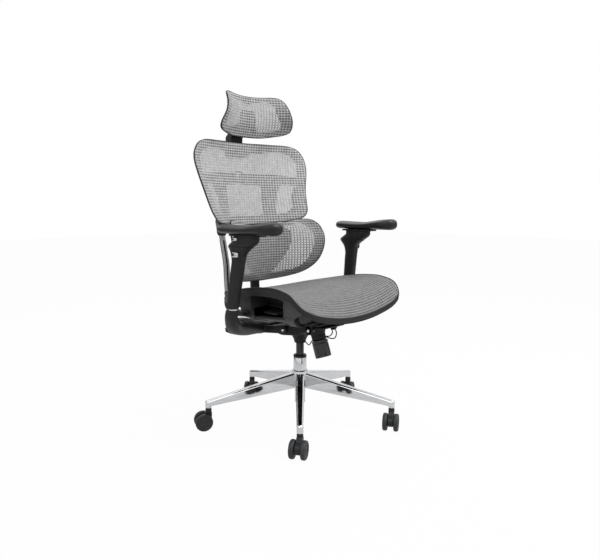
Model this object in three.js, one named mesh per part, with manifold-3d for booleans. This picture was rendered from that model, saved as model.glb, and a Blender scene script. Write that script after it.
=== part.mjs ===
// An ergonomic mesh office chair with headrest, lumbar pad and adjustable arms.
// Millimetres, +Z up. The sitter faces -Y, and the sitter's right hand is at -X.
// All pieces are laid out about the gas lift's axis, which stands at (liftX, liftY) on the floor;
// the origin is the middle of the floor rectangle that the whole chair takes up.

import * as THREE from 'three';
import { mergeVertices } from 'three/addons/utils/BufferGeometryUtils.js';
import Module from 'manifold-3d';

// ---- driving dimensions ----

const liftX = -0.3;
const liftY = -62.8;
const gap = 0.3; // between faces that rest on each other
const runGap = 0.8; // round parts that turn or slide in one another
const roundSides = 24; // facets round the lift and the parts that fit it

// five-leg base
const legCount = 5;
const firstLegAngle = -135;
const legReach = 330;
const legRootWidth = 32;
const legTipWidth = 21;
const legRootTop = 178;
const legTipTop = 101.5;
const legRootDepth = 56;
const legTipDepth = 20;
const legBevel = 4.5;
const bossBottom = 75;
const hubRadius = 29;
const hubTop = 182;
const hubBottom = 118;

// casters: the direction in which each one trails, from the leg that points at -135 degrees on
const casterTrails = [-150, -150, -150, -140, 153];
const wheelRadius = 30;
const wheelWidth = 16;
const wheelCentres = 37;
const wheelEdge = 4;
const casterTrail = 18;
const axleRadius = 4;
const stemRadius = 5.5;
const stemLength = 20;
const hoodRadius = 21;
const collarRadius = 10.5;

// gas lift
const tubeRadius = 23.5;
const tubeFootRadius = 18.5;
const tubeWall = 2.5;
const tubeTop = 228;
const tubeBottom = 62;
const guideLip = 9;
const guideLength = 50;
const columnRadius = 14;
const columnBottom = 118;

// tilt mechanism
const neckBottom = 280;
const neckFlare = 30;
const housingHalfWidth = 56;
const housingFront = -166;
const housingRear = 104;
const housingWallTop = 362;
const forkThickness = 8;
const reclinePivotY = 20;
const reclinePivotZ = 332;
const forkRadius = 14;
const seatPivotY = -104;
const seatPivotZ = 347;
const pinRadius = 6;

// tension spring housing and its knob
const tensionTopY = -80;
const tensionTopZ = 345;
const tensionEndY = -115;
const tensionEndZ = 247;
const tensionTubeRadius = 25;
const tensionKnobRadius = 28;
const tensionKnobLength = 60;
const cableRadius = 1.5;
const cableEndGap = 0.9;

// seat
const seatHalfWidth = 258;
const seatFront = -262;
const seatRear = 190;
const rimWidth = 32;
const rimLipSide = 12;
const rimLipFront = 3.5;
const rimDropSide = 30;
const rimDropFront = 21;
const fabric = 2.4;
const carrierHalfWidth = 72;
const carrierTop = 376;
const carrierThickness = 8;
const carrierFront = -158;
const carrierRear = 120;
const slidePlate = 7;
const skirtBottom = 430;
const skirtFront = -29;
const tubWall = 150;
const tubFloor = 404;
const tubThickness = 4;
const tubRear = -21;
const tubFront = -104;
const tubRearWidth = 78;
const tubFrontWidth = 30;
const tubTop = 450;
const rearHousingEnd = 42;
const endWallTop = 474;
const sidePanelHalf = 3;
const paddleMountTop = 470;
const paddleMountReach = 36;
const paddleX = 166;
const paddleY = -70;
const paddleZ = 424;
const paddleRise = 6;

// upper back
const backHalfWidth = 260;
const backBottom = 688;
const backHeight = 306;
const backTop = backBottom + backHeight;
const backBorder = 34;
const backTopBorder = 42;
const frameThickness = 9;
const legFootX = 105;
const legFootRear = 298;
const legFootBottom = backBottom + 4;
const legFootHeight = 36;
const legFootTop = legFootBottom + legFootHeight;
const hubZ = 872;
const hubY = 334;

// lumbar pad
const lumbarHalfWidth = 222;
const lumbarBottom = 484;
const lumbarHeight = 238;
const lumbarTop = lumbarBottom + lumbarHeight;
const lumbarBorder = 34;

// headrest
const headHalfWidth = 172;
const headBottom = 1013;
const headHeight = 152;
const headTop = headBottom + headHeight;
const headBorder = 26;
const headPivotY = 326;
const headPivotZ = 1046;
const headBarrelRadius = 12;
const postHalfWidth = 22;
const postHalfDepth = 8;
const postY = 353;
const socketBottom = 940;
const socketTop = 996;

// back supports
const uprightHalfWidth = 12.5;
const uprightHalfDepth = 6.5;
const uprightFoot = 372;
const uprightStraightFrom = 538;
const uprightStraightY = 417;
const uprightSlope = 0.23;
const spineSocketTop = 398;
const carriageBottom = 642;
const carriageTop = 708;
const uprightTop = carriageTop - 8;
const lumbarColumnHalfWidth = 19;
const lumbarColumnHalfDepth = 9;
const lumbarColumnFootY = 240;
const lumbarColumnSlope = 0.0417;
const lumbarColumnTop = 640;
const columnSocketTop = 400;
const lumbarPivotY = 232;
const lumbarPivotZ = 596;
const lumbarPinRadius = 5;

// arms
const armX = 286;
const armElbowTop = 430;
const armFootY = 21.5;
const armLeanForward = 0.145;
const armLeanInward = 0.0676;
const sleeveHalfDepth = 22;
const sleeveHalfWidth = 16;
const armCoreHalfDepth = 15;
const armCoreHalfWidth = 9;
const armCoreBottom = 410;
const armCoreTop = 600;
const ringHeight = 5;
const armHeadTop = 668;
const armHeadX = 271.5;
const buttonY = -10;
const buttonHalfLength = 12;
const buttonReach = 7;
const buttonDepth = 7;
const buttonTravel = 2;
const triggerZ = 610;
const padButtonZ = 659;
const armPlate = 6;
const padX = 283;
const padLength = 273;
const padHalfWidth = 45;
const padRearHeight = 30;
const padFrontHeight = 40;
const padCentreY = -65.5;

// ---- finishes ----

const chrome = { color: 0xd8dadc, roughness: 0.08, metalness: 1 };
const aluminium = { color: 0xb4b6b8, roughness: 0.28, metalness: 1 };
const blackPlastic = { color: 0x24262a, roughness: 0.5, metalness: 0 };
const softBlack = { color: 0x26272b, roughness: 0.6, metalness: 0 };
const glossBlack = { color: 0x1c1d20, roughness: 0.2, metalness: 0 };
const greyMesh = { color: 0x9b9da0, roughness: 0.8, metalness: 0 };

// ---- tools for closed shapes ----

const wasm = await Module();
wasm.setup();

const degrees = Math.PI / 180;
const vec = (x, y, z) => new THREE.Vector3(x, y, z);

// Merges a geometry's corners, drops empty triangles and turns its faces outwards.
function settle(geometry) {
  const bare = geometry.clone();
  bare.deleteAttribute('normal');
  bare.deleteAttribute('uv');
  const merged = mergeVertices(bare, 1e-4);
  const at = merged.attributes.position;
  const corners = Array.from(merged.index.array);
  const kept = [];
  let volume = 0;
  const [a, b, c] = [vec(), vec(), vec()];
  for (let i = 0; i < corners.length; i += 3) {
    const [i0, i1, i2] = corners.slice(i, i + 3);
    if (i0 === i1 || i1 === i2 || i2 === i0) continue;
    kept.push(i0, i1, i2);
    a.fromBufferAttribute(at, i0);
    b.fromBufferAttribute(at, i1);
    c.fromBufferAttribute(at, i2);
    volume += a.dot(b.cross(c));
  }
  if (volume < 0) {
    for (let i = 0; i < kept.length; i += 3) [kept[i], kept[i + 1]] = [kept[i + 1], kept[i]];
  }
  merged.setIndex(kept);
  return merged;
}

function toSolid(geometry) {
  const closed = settle(geometry);
  return new wasm.Manifold(new wasm.Mesh({
    numProp: 3,
    vertProperties: Float32Array.from(closed.attributes.position.array),
    triVerts: Uint32Array.from(closed.index.array),
  }));
}

function toGeometry(solid) {
  const mesh = solid.getMesh();
  const geometry = new THREE.BufferGeometry();
  geometry.setAttribute('position', new THREE.BufferAttribute(Float32Array.from(mesh.vertProperties), 3));
  geometry.setIndex(Array.from(mesh.triVerts));
  return geometry;
}

const join = (...shapes) => toGeometry(shapes.map(toSolid).reduce((all, one) => all.add(one)));
const cut = (shape, ...tools) => toGeometry(tools.map(toSolid)
  .reduce((left, one) => left.subtract(one), toSolid(shape)));

function closedShape(points, triangles) {
  const geometry = new THREE.BufferGeometry();
  const numbers = points.flatMap((p) => [p.x, p.y, p.z]);
  geometry.setAttribute('position', new THREE.Float32BufferAttribute(numbers, 3));
  geometry.setIndex(triangles);
  return settle(geometry);
}

// Skins a row of closed rings that have the same number of points. Ends are capped from their middles,
// unless the row itself closes on its start.
function loft(rings, isLoop = false) {
  const count = rings[0].length;
  const points = rings.flat();
  const triangles = [];
  const bands = isLoop ? rings.length : rings.length - 1;
  for (let i = 0; i < bands; i += 1) {
    const here = i * count;
    const next = ((i + 1) % rings.length) * count;
    for (let j = 0; j < count; j += 1) {
      const k = (j + 1) % count;
      triangles.push(here + j, here + k, next + k, here + j, next + k, next + j);
    }
  }
  if (!isLoop) {
    const ends = [[rings[0], 0, true], [rings.at(-1), (rings.length - 1) * count, false]];
    for (const [ring, start, flip] of ends) {
      const middle = ring.reduce((sum, p) => sum.add(p), vec(0, 0, 0)).divideScalar(count);
      points.push(middle);
      for (let j = 0; j < count; j += 1) {
        const k = (j + 1) % count;
        if (flip) triangles.push(points.length - 1, start + k, start + j);
        else triangles.push(points.length - 1, start + j, start + k);
      }
    }
  }
  return closedShape(points, triangles);
}

// A bar along a path. Each station is [x, y, z, half size across, half size in depth]; the depth
// direction lies as near to the reference as the path allows. power 2 gives an oval, more a rounded box.
function bar(stations, sides = 14, power = 2, reference = vec(0, 1, 0)) {
  const centres = stations.map(([x, y, z]) => vec(x, y, z));
  const rings = stations.map(([, , , across_, depth], i) => {
    const before = centres[Math.max(i - 1, 0)];
    const after = centres[Math.min(i + 1, centres.length - 1)];
    const path = after.clone().sub(before).normalize();
    const toDepth = reference.clone().addScaledVector(path, -path.dot(reference)).normalize();
    const toSide = toDepth.clone().cross(path);
    return oval(sides, power).map(([side, deep]) => centres[i].clone()
      .addScaledVector(toSide, side * across_).addScaledVector(toDepth, deep * depth));
  });
  return loft(rings);
}

// A stack of level rings. Each station is [x, y, z, half size in X, half size in Y].
function stack(stations, sides = 16, power = 3) {
  return loft(stations.map(([x, y, z, halfX, halfY]) => oval(sides, power)
    .map(([p, q]) => vec(x + p * halfX, y + q * halfY, z))));
}

// Points round a unit oval that grows square as the power rises.
function oval(sides, power) {
  return Array.from({ length: sides }, (_, j) => {
    const turn = (j + 0.5) * 2 * Math.PI / sides;
    return [roundPower(Math.cos(turn), power), roundPower(Math.sin(turn), power)];
  });
}

const roundPower = (value, power) => Math.sign(value) * Math.abs(value) ** (2 / power);

// A profile of [y, z] points carried across X, centred on x.
function across(profile, width, x = 0) {
  const shape = new THREE.Shape(profile.map(([y, z]) => new THREE.Vector2(y, z)));
  const geometry = new THREE.ExtrudeGeometry(shape, { depth: width, bevelEnabled: false, curveSegments: 8 });
  geometry.applyMatrix4(new THREE.Matrix4().makeBasis(vec(0, 1, 0), vec(0, 0, 1), vec(1, 0, 0)));
  return geometry.translate(x - width / 2, 0, 0);
}

// A turned shape from [radius, height] points, standing on Z.
function turned(profile, segments = 24) {
  const points = profile.map(([r, z]) => new THREE.Vector2(r, z));
  return new THREE.LatheGeometry(points, segments).rotateX(Math.PI / 2);
}

const post = (radius, bottom, top, segments = 24) => turned([[0, bottom], [radius, bottom],
  [radius, top], [0, top]], segments);

// A round pin along X.
const crossPin = (radius, length, y, z, segments = 16) => post(radius, -length / 2, length / 2, segments)
  .rotateY(Math.PI / 2).translate(0, y, z);

const box = (x0, x1, y0, y1, z0, z1) => new THREE.BoxGeometry(x1 - x0, y1 - y0, z1 - z0)
  .translate((x0 + x1) / 2, (y0 + y1) / 2, (z0 + z1) / 2);

// Lays a shape made on the Z axis along the line from one point to another, starting at the first.
function along(geometry, from, to) {
  const turn = new THREE.Quaternion().setFromUnitVectors(vec(0, 0, 1), to.clone().sub(from).normalize());
  return geometry.applyQuaternion(turn).translate(from.x, from.y, from.z);
}

// A smooth height from [place, value] pairs in rising order of place.
function through(pairs) {
  const slope = (i) => {
    const low = Math.max(i - 1, 0);
    const high = Math.min(i + 1, pairs.length - 1);
    return (pairs[high][1] - pairs[low][1]) / (pairs[high][0] - pairs[low][0]);
  };
  return (place) => {
    const at = Math.min(Math.max(place, pairs[0][0]), pairs.at(-1)[0]);
    const i = Math.min(Math.max(pairs.findIndex(([x]) => x >= at) - 1, 0), pairs.length - 2);
    const span = pairs[i + 1][0] - pairs[i][0];
    const t = (at - pairs[i][0]) / span;
    const [t2, t3] = [t * t, t * t * t];
    return (2 * t3 - 3 * t2 + 1) * pairs[i][1] + (t3 - 2 * t2 + t) * span * slope(i)
      + (3 * t2 - 2 * t3) * pairs[i + 1][1] + (t3 - t2) * span * slope(i + 1);
  };
}

// ---- stretched panels: seat, back, lumbar pad and headrest ----

// An outline from the right half's points, as shares of half the width and of the height from low to high.
function outline(half, halfWidth, low, high, count) {
  const right = half.map(([across_, up]) => vec(across_ * halfWidth, low + up * (high - low), 0));
  const left = right.slice(1, -1).reverse().map((p) => vec(-p.x, p.y, 0));
  const curve = new THREE.CatmullRomCurve3([...right, ...left], true, 'centripetal');
  return curve.getSpacedPoints(count).slice(0, count).map((p) => [p.x, p.y]);
}

// The same outline, drawn in by a width towards the panel's middle.
function inset(points, middle, width) {
  return points.map(([p, q], i) => {
    const wide = typeof width === 'function' ? width(p, q, i) : width;
    const length = Math.hypot(p, q - middle);
    return [p - p * wide / length, q - (q - middle) * wide / length];
  });
}

// A thin closed sheet between two depths under a panel's surface. Its outer rings are the given
// outlines; the rest are the last of these drawn in towards the middle.
function sheet(outlines, middle, place, front, back, shares = [0.75, 0.5, 0.25]) {
  const last = outlines.at(-1);
  const drawnIn = shares.map((share) => last.map(([p, q]) => [p * share, middle + (q - middle) * share]));
  const rings = [...outlines, ...drawnIn];
  const count = last.length;
  const corners = [];
  const triangles = [];
  const side = rings.length * count + 1;
  for (const [depth, flip] of [[front, false], [back, true]]) {
    const start = corners.length;
    const face = (a, b, c) => triangles.push(start + a, start + (flip ? c : b), start + (flip ? b : c));
    for (const ring of rings) corners.push(...ring.map(([p, q]) => place(p, q, depth)));
    corners.push(place(0, middle, depth));
    for (let j = 0; j < count; j += 1) {
      const k = (j + 1) % count;
      for (let outer = 0; outer < side - 1 - count; outer += count) {
        face(outer + j, outer + k, outer + count + k);
        face(outer + j, outer + count + k, outer + count + j);
      }
      face(side - 1 - count + j, side - 1 - count + k, side - 1);
    }
  }
  for (let j = 0; j < count; j += 1) {
    const k = (j + 1) % count;
    triangles.push(j, side + j, side + k, j, side + k, k);
  }
  return closedShape(corners, triangles);
}

// A closed ring round an outline. The section lists [inset, depth] points, which may be functions.
function ringAround(points, middle, place, section) {
  return loft(ringSections(points, middle, place, section), true);
}

function ringSections(points, middle, place, section) {
  const drawnIn = section.map(([width]) => inset(points, middle, width));
  return points.map((point, i) => section.map(([, depth], s) => {
    const deep = typeof depth === 'function' ? depth(...point) : depth;
    return place(...drawnIn[s][i], deep);
  }));
}

// ---- the chair ----

const chair = new THREE.Group();
chair.position.set(liftX, liftY, 0);

function piece(name, geometry, finish) {
  const mesh = new THREE.Mesh(settle(geometry), new THREE.MeshStandardMaterial(finish));
  mesh.name = name;
  mesh.geometry.computeVertexNormals();
  chair.add(mesh);
  return mesh;
}

const sides = [['right', -1], ['left', 1]];
const mirrored = (side, stations) => stations.map(([x, ...rest]) => [side * x, ...rest]);
const legAngles = Array.from({ length: legCount }, (_, i) => firstLegAngle + i * 360 / legCount);
const stemPlaces = legAngles.map((angle) => [legReach * Math.cos(angle * degrees),
  legReach * Math.sin(angle * degrees)]);

// Base: five bevelled legs, deep at the hub and shallow at the tip, each with a round caster boss.
function legShape() {
  const section = (radius, width, top, depth) => {
    const half = width / 2;
    const corners = [[half, top - depth], [half, top - legBevel], [half - legBevel, top],
      [legBevel - half, top], [-half, top - legBevel], [-half, top - depth]];
    return corners.map(([across_, up]) => vec(radius, across_, up));
  };
  const root = section(0, legRootWidth, legRootTop, legRootDepth);
  const tip = section(legReach, legTipWidth, legTipTop, legTipDepth);
  const bossRadius = legTipWidth / 2;
  const boss = turned([[0, bossBottom], [bossRadius, bossBottom], [bossRadius, legTipTop - legBevel],
    [bossRadius - legBevel, legTipTop], [0, legTipTop]], 16).translate(legReach, 0, 0);
  return join(loft([root, tip]), boss);
}

function baseStar() {
  const hub = turned([[0, hubBottom], [hubRadius - 3, hubBottom], [hubRadius, hubBottom + 8],
    [hubRadius, hubTop - 3], [hubRadius - 3, hubTop], [0, hubTop]], roundSides);
  const legs = legAngles.map((angle) => legShape().rotateZ(angle * degrees));
  const stemHoles = stemPlaces.map(([x, y]) => post(stemRadius + gap, bossBottom - 1,
    bossBottom + stemLength + 1, 12).translate(x, y, 0));
  const tubeHole = post(tubeRadius + gap, hubBottom - 40, hubTop + 1, roundSides);
  return cut(join(hub, ...legs), tubeHole, ...stemHoles);
}
piece('base_star', baseStar(), chrome);

// Casters: a hood with its stem and axle, and two wheels that turn on the axle.
function hoodShape() {
  const halfThickness = wheelCentres / 2 - wheelWidth / 2 - runGap;
  const side = new THREE.Shape();
  side.absarc(-casterTrail, wheelRadius, hoodRadius, 0.5 * Math.PI, 7 / 6 * Math.PI, false);
  side.lineTo(2 * axleRadius - casterTrail, wheelRadius - hoodRadius / 2);
  side.lineTo(collarRadius, wheelRadius + 12);
  side.lineTo(collarRadius, wheelRadius + 32);
  side.lineTo(-collarRadius, wheelRadius + 34);
  const settings = { depth: 2 * halfThickness, bevelEnabled: false, curveSegments: 6 };
  const block = new THREE.ExtrudeGeometry(side, settings).rotateX(Math.PI / 2).translate(0, halfThickness, 0);
  const collar = post(collarRadius, wheelRadius + 28, bossBottom - gap, 12);
  const stem = post(stemRadius, wheelRadius + 28, bossBottom + stemLength, 8);
  const axleHalf = wheelCentres / 2 + wheelWidth / 2 - 4;
  const axle = post(axleRadius, -axleHalf, axleHalf, 8).rotateX(Math.PI / 2)
    .translate(-casterTrail, 0, wheelRadius);
  return join(block, collar, stem, axle);
}

function wheelShape() {
  const half = wheelWidth / 2;
  return turned([[0, half], [wheelRadius - wheelEdge, half], [wheelRadius, half - wheelEdge],
    [wheelRadius, wheelEdge - half], [wheelRadius - wheelEdge, -half], [axleRadius + runGap, -half],
    [axleRadius + runGap, half - 3], [0, half - 3]], 18);
}

casterTrails.forEach((trail, i) => {
  const place = (mesh) => {
    mesh.rotation.z = (trail + 180) * degrees;
    mesh.position.set(...stemPlaces[i], 0);
  };
  place(piece(`caster_hood_${i + 1}`, hoodShape(), blackPlastic));
  for (const [label, side] of [['a', 1], ['b', -1]]) {
    const wheel = wheelShape().rotateX(-side * Math.PI / 2)
      .translate(-casterTrail, side * wheelCentres / 2, wheelRadius);
    place(piece(`caster_wheel_${i + 1}${label}`, wheel, softBlack));
  }
});

// Gas lift: outer tube wedged in the hub, plastic guide in its mouth, and the column that slides in it.
const tubeBore = tubeFootRadius - tubeWall;
piece('lift_tube', turned([
  [columnRadius + runGap, tubeBottom], [tubeFootRadius, tubeBottom], [tubeFootRadius, hubBottom - 8],
  [tubeRadius, hubBottom + 6], [tubeRadius, tubeTop], [tubeRadius - tubeWall, tubeTop],
  [tubeRadius - tubeWall, tubeTop - guideLength], [tubeBore, tubeTop - guideLength - 6],
  [tubeBore, tubeBottom + 6], [columnRadius + runGap, tubeBottom + 6], [columnRadius + runGap, tubeBottom],
], roundSides), chrome);

const guideBottom = tubeTop - guideLength + gap;
const guideRadius = tubeRadius - tubeWall - gap;
piece('lift_guide', turned([
  [columnRadius + gap, guideBottom], [guideRadius, guideBottom],
  [guideRadius, tubeTop + gap], [tubeRadius, tubeTop + gap], [tubeRadius, tubeTop + guideLip - 2],
  [tubeRadius - 2, tubeTop + guideLip], [columnRadius + gap, tubeTop + guideLip],
  [columnRadius + gap, guideBottom],
], roundSides), blackPlastic);

const columnTop = neckBottom + 48;
piece('lift_column', post(columnRadius, columnBottom, columnTop, roundSides), blackPlastic);

// Tilt mechanism: a long box with a flared neck, a spigot for the spring, and bores for its two pins.
const tensionTop = vec(0, tensionTopY, tensionTopZ);
const tensionEnd = vec(0, tensionEndY, tensionEndZ);
const tensionLength = tensionTop.distanceTo(tensionEnd);
const tensionTubeEnd = tensionLength - tensionKnobLength;
const tensionSpigot = 14;
const spigotRadius = tensionTubeRadius - 6;
const noseUnderside = [[housingFront + 4, 358], [-112, 346]];
function mechanismHousing() {
  const body = across([[housingFront, housingWallTop + 2], ...noseUnderside, [-62, 330],
    [-40, 318], [38, 308], [84, 314], [housingRear, 318], [housingRear, 333], [60, 340],
    [-60, housingWallTop - 5], [-130, housingWallTop + 1]], 2 * housingHalfWidth);
  const neck = turned([[0, neckBottom], [columnRadius + 6, neckBottom], [columnRadius + 8, neckBottom + 12],
    [columnRadius + 14, neckBottom + 24], [columnRadius + neckFlare, neckBottom + 40],
    [columnRadius + neckFlare, neckBottom + 52], [0, neckBottom + 52]], roundSides);
  const spring = join(
    along(post(tensionTubeRadius, 0, tensionTubeEnd, 24), tensionTop, tensionEnd),
    along(post(spigotRadius, tensionTubeEnd - 1, tensionTubeEnd + tensionSpigot, 24), tensionTop, tensionEnd),
  );
  const bores = [
    post(columnRadius + gap, neckBottom - 1, columnTop + gap, roundSides),
    crossPin(pinRadius + gap, 4 * housingHalfWidth, reclinePivotY, reclinePivotZ),
    crossPin(pinRadius + gap, 4 * housingHalfWidth, seatPivotY, seatPivotZ),
  ];
  return cut(join(body, neck, spring), ...bores);
}
piece('mechanism_housing', mechanismHousing(), blackPlastic);

const knobWellEnd = tensionTubeEnd + tensionSpigot + gap;
const knob = turned([[0, knobWellEnd], [spigotRadius + gap, knobWellEnd],
  [spigotRadius + gap, tensionTubeEnd + gap], [tensionKnobRadius, tensionTubeEnd + gap],
  [tensionKnobRadius, tensionLength - 2], [tensionKnobRadius - 2, tensionLength], [0, tensionLength]], 24);
piece('tension_knob', along(knob, tensionTop, tensionEnd), glossBlack);

const forkInside = housingHalfWidth + runGap;
const pinLength = 2 * (forkInside + forkThickness + 2);
piece('recline_pin', crossPin(pinRadius, pinLength, reclinePivotY, reclinePivotZ), chrome);
piece('seat_tilt_pin', crossPin(pinRadius, pinLength, seatPivotY, seatPivotZ), chrome);

// Control cables. Each ends against the spring housing, and starts under the nose or at the neck.
const tensionAxis = tensionEnd.clone().sub(tensionTop).normalize();
const tensionFront = tensionAxis.clone().cross(vec(1, 0, 0));
// A point beside the spring housing: an angle round from +X to the front, a way down, a way off its wall.
function besideSpring(angle, down, off) {
  const reach = tensionTubeRadius + off;
  return tensionTop.clone().addScaledVector(tensionAxis, down)
    .addScaledVector(vec(1, 0, 0), reach * Math.cos(angle * degrees))
    .addScaledVector(tensionFront, reach * Math.sin(angle * degrees));
}
const underNose = (x, y, drop) => vec(x, y, through(noseUnderside)(y) - drop);
const besideNeck = (angle, z, off) => {
  const reach = columnRadius + 8 + off;
  return vec(reach * Math.sin(angle * degrees), -reach * Math.cos(angle * degrees), z);
};
function cable(points) {
  const circle = new THREE.Shape();
  circle.absarc(0, 0, cableRadius, 0, 2 * Math.PI, false);
  const path = new THREE.CatmullRomCurve3(points);
  const settings = { steps: 12, extrudePath: path, bevelEnabled: false, curveSegments: 4 };
  return new THREE.ExtrudeGeometry(circle, settings);
}
piece('cable_front', cable([underNose(16, -148, cableEndGap), underNose(18, -156, 20),
  underNose(19, -148, 38), besideSpring(62, 46, 12), besideSpring(62, 38, cableEndGap)]), blackPlastic);
piece('cable_middle', cable([underNose(30, -118, cableEndGap), underNose(32, -126, 18),
  besideSpring(42, 39, 11), besideSpring(42, 36, cableEndGap)]), blackPlastic);
piece('cable_rear', cable([besideNeck(8, neckBottom + 7, cableEndGap), besideNeck(10, neckBottom - 3, 12),
  besideSpring(-100, 50, 20), besideSpring(-100, 42, 9), besideSpring(-100, 37, cableEndGap)]), blackPlastic);

// Seat carrier: a plate on two lugs that turns on the seat pin, with edges that the seat slides along.
const carrierBottom = carrierTop - carrierThickness;
const lugX = forkInside + forkThickness / 2;
function lug(x, thickness, radius, y, z, top) {
  const plate = box(x - thickness / 2, x + thickness / 2, y - radius, y + radius, z, top);
  return join(plate, crossPin(radius, thickness, y, z, 20).translate(x, 0, 0));
}
function seatCarrier() {
  const half = carrierHalfWidth;
  const plate = box(-half, half, carrierFront, carrierRear, carrierBottom, carrierTop);
  const lugs = [-lugX, lugX].map((x) => lug(x, forkThickness, 15, seatPivotY, seatPivotZ, carrierBottom + 2));
  return cut(join(plate, ...lugs), crossPin(pinRadius + gap, 2 * pinLength, seatPivotY, seatPivotZ));
}
piece('seat_carrier', seatCarrier(), blackPlastic);

// Seat surface: high at the sides, dished across and falling away at the front edge.
const seatLength = seatRear - seatFront;
const seatMiddle = (seatFront + seatRear) / 2;
const seatCrest = through([[0, 458], [0.03, 470], [0.09, 495], [0.2, 511], [0.38, 513], [0.56, 504],
  [0.8, 484], [1, 468]]);
const seatDish = through([[0, 52], [0.1, 42], [0.3, 28], [0.6, 18], [1, 9]]);
function seatPlace(x, y, depth) {
  const share = (y - seatFront) / seatLength;
  const dish = seatDish(share) * (1 - Math.min((x / seatHalfWidth) ** 2, 1));
  return vec(x, y, seatCrest(share) - dish - depth);
}
const seatHalf = [[0, 0], [0.45, 0], [0.8, 0.004], [0.93, 0.022], [0.985, 0.06], [1, 0.13],
  [1, 0.3], [0.975, 0.5], [0.94, 0.65], [0.9, 0.83], [0.76, 0.965], [0.45, 0.998], [0, 1]];
const seatOutline = outline(seatHalf, seatHalfWidth, seatFront, seatRear, 44);
const sideShare = (y) => THREE.MathUtils.smoothstep(y, seatFront + 8, seatFront + 90);
const rimLip = (x, y) => THREE.MathUtils.lerp(rimLipFront, rimLipSide, sideShare(y));
const rimDrop = (x, y) => THREE.MathUtils.lerp(rimDropFront, rimDropSide, sideShare(y));
const plateZ = carrierTop + gap + slidePlate;

function seatFrame() {
  const rim = ringAround(seatOutline, seatMiddle, seatPlace, [[0, 9], [1, 2], [rimLip, 0],
    [rimLip, fabric + gap], [rimWidth, fabric + gap], [rimWidth, 10], [16, 18], [6, rimDrop],
    [1, (x, y) => rimDrop(x, y) - 6]]);
  // skirt round the rear, from the side recesses back
  const skirtDepth = (x, y) => seatPlace(x, y, 0).z - skirtBottom;
  const rear = outline(seatHalf, seatHalfWidth, seatFront, seatRear, 88).filter(([, y]) => y > skirtFront);
  const skirtSection = [[2, 12], [8, 12], [10, skirtDepth], [4, skirtDepth]];
  const skirt = loft(ringSections(rear, seatMiddle, seatPlace, skirtSection));
  // bowl from under the rim in to the slide plate
  const steps = [[24, 8, 0], [96, 26, 0.45], [150, 40, 0.92]];
  const bowlPoint = ([x, y], width, share, rise) => {
    const [p, q] = inset([[x, y]], seatMiddle, width)[0];
    const top = seatPlace(x, y, 14).z;
    return vec(p, q, top + (plateZ - 3 - top) * share + rise);
  };
  const bowl = loft(seatOutline.filter((_, i) => i % 2 === 0).map((point) => [
    ...steps.map(([width, , share]) => bowlPoint(point, width, share, 0)),
    ...steps.toReversed().map(([width, , share]) => bowlPoint(point, width + 2, share, 4)),
  ]), true);
  const slide = box(-carrierHalfWidth - 34, carrierHalfWidth + 34, carrierFront + 6, carrierRear - 4,
    carrierTop + gap, plateZ);
  const lips = [-1, 1].map((side) => {
    const inner = side * (carrierHalfWidth + runGap);
    return box(Math.min(inner, inner + side * 6), Math.max(inner, inner + side * 6), carrierFront + 16,
      carrierRear - 14, carrierBottom + 1, plateZ);
  });
  // side panels that sweep from the rim in to the slide plate; each row is [x, z, front, back]
  const sweep = [[240, 478, -206, -172], [222, 455, -222, -151], [205, 437, -212, -134],
    [188, 420, -176, -116], [170, 401, -142, -99], [145, 384, -128, -88], [118, 370, -116, -78],
    [98, 366, -112, -70]];
  const half = sidePanelHalf;
  const panel = (side) => loft(sweep.map(([x, z, front, back]) => [
    vec(side * (x + half), front, z - half), vec(side * (x + half), back, z - half),
    vec(side * (x + 1 - half), back, z + half), vec(side * (x + 1 - half), front, z + half)]));
  // side tubs behind the panels: a back wall, a floor, a slope in to the slide plate and an end wall
  const tub = (side) => {
    const floorTop = tubFloor + tubThickness;
    const plateEdge = carrierHalfWidth + 34;
    const section = (y, width) => [[tubWall, tubTop], [tubWall + tubThickness, tubTop],
      [tubWall + tubThickness, floorTop], [tubWall + width, floorTop], [tubWall + width, tubFloor - 3],
      [plateEdge, carrierBottom + 2], [plateEdge - 4, carrierBottom + 2], [plateEdge - 4, plateZ],
      [plateEdge, plateZ], [tubWall, tubFloor - 6]].map(([x, z]) => vec(side * x, y, z));
    const trough = loft([section(tubFront, tubFrontWidth), section(tubRear, tubRearWidth)]);
    const reach = tubWall + tubRearWidth;
    const endOutline = [[tubWall, tubFloor], [reach, tubFloor], [reach + 18, tubFloor + 16],
      [reach + 21, endWallTop], [tubWall + 50, endWallTop + 2], [tubWall, tubTop + 2]];
    const wall = loft([tubRear - tubThickness, tubRear].map((y) =>
      endOutline.map(([x, z]) => vec(side * x, y, z))));
    // housing behind the end wall, under the skirt
    const housing = loft([tubRear - tubThickness, rearHousingEnd].map((y) => [[tubWall, tubFloor - 2],
      [reach - 4, tubFloor - 2], [reach + 6, tubFloor + 8], [reach + 8, skirtBottom + 8],
      [tubWall, skirtBottom + 8]].map(([x, z]) => vec(side * x, y, z))));
    return join(trough, wall, housing);
  };
  const mounts = [-1, 1].map((side) => box(Math.min(side * paddleX, side * tubWall),
    Math.max(side * paddleX, side * tubWall), paddleY - paddleMountReach, tubRear - 1,
    paddleZ + paddleRise + gap, paddleMountTop));
  return join(rim, skirt, bowl, slide, ...lips, panel(-1), panel(1), tub(-1), tub(1), ...mounts);
}
piece('seat_frame', seatFrame(), blackPlastic);

const meshRings = [inset(seatOutline, seatMiddle, (x, y) => rimLip(x, y) + gap),
  inset(seatOutline, seatMiddle, rimWidth)];
piece('seat_mesh', sheet(meshRings, seatMiddle, seatPlace, 0, fabric, [0.85, 0.6, 0.3]), greyMesh);

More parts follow.
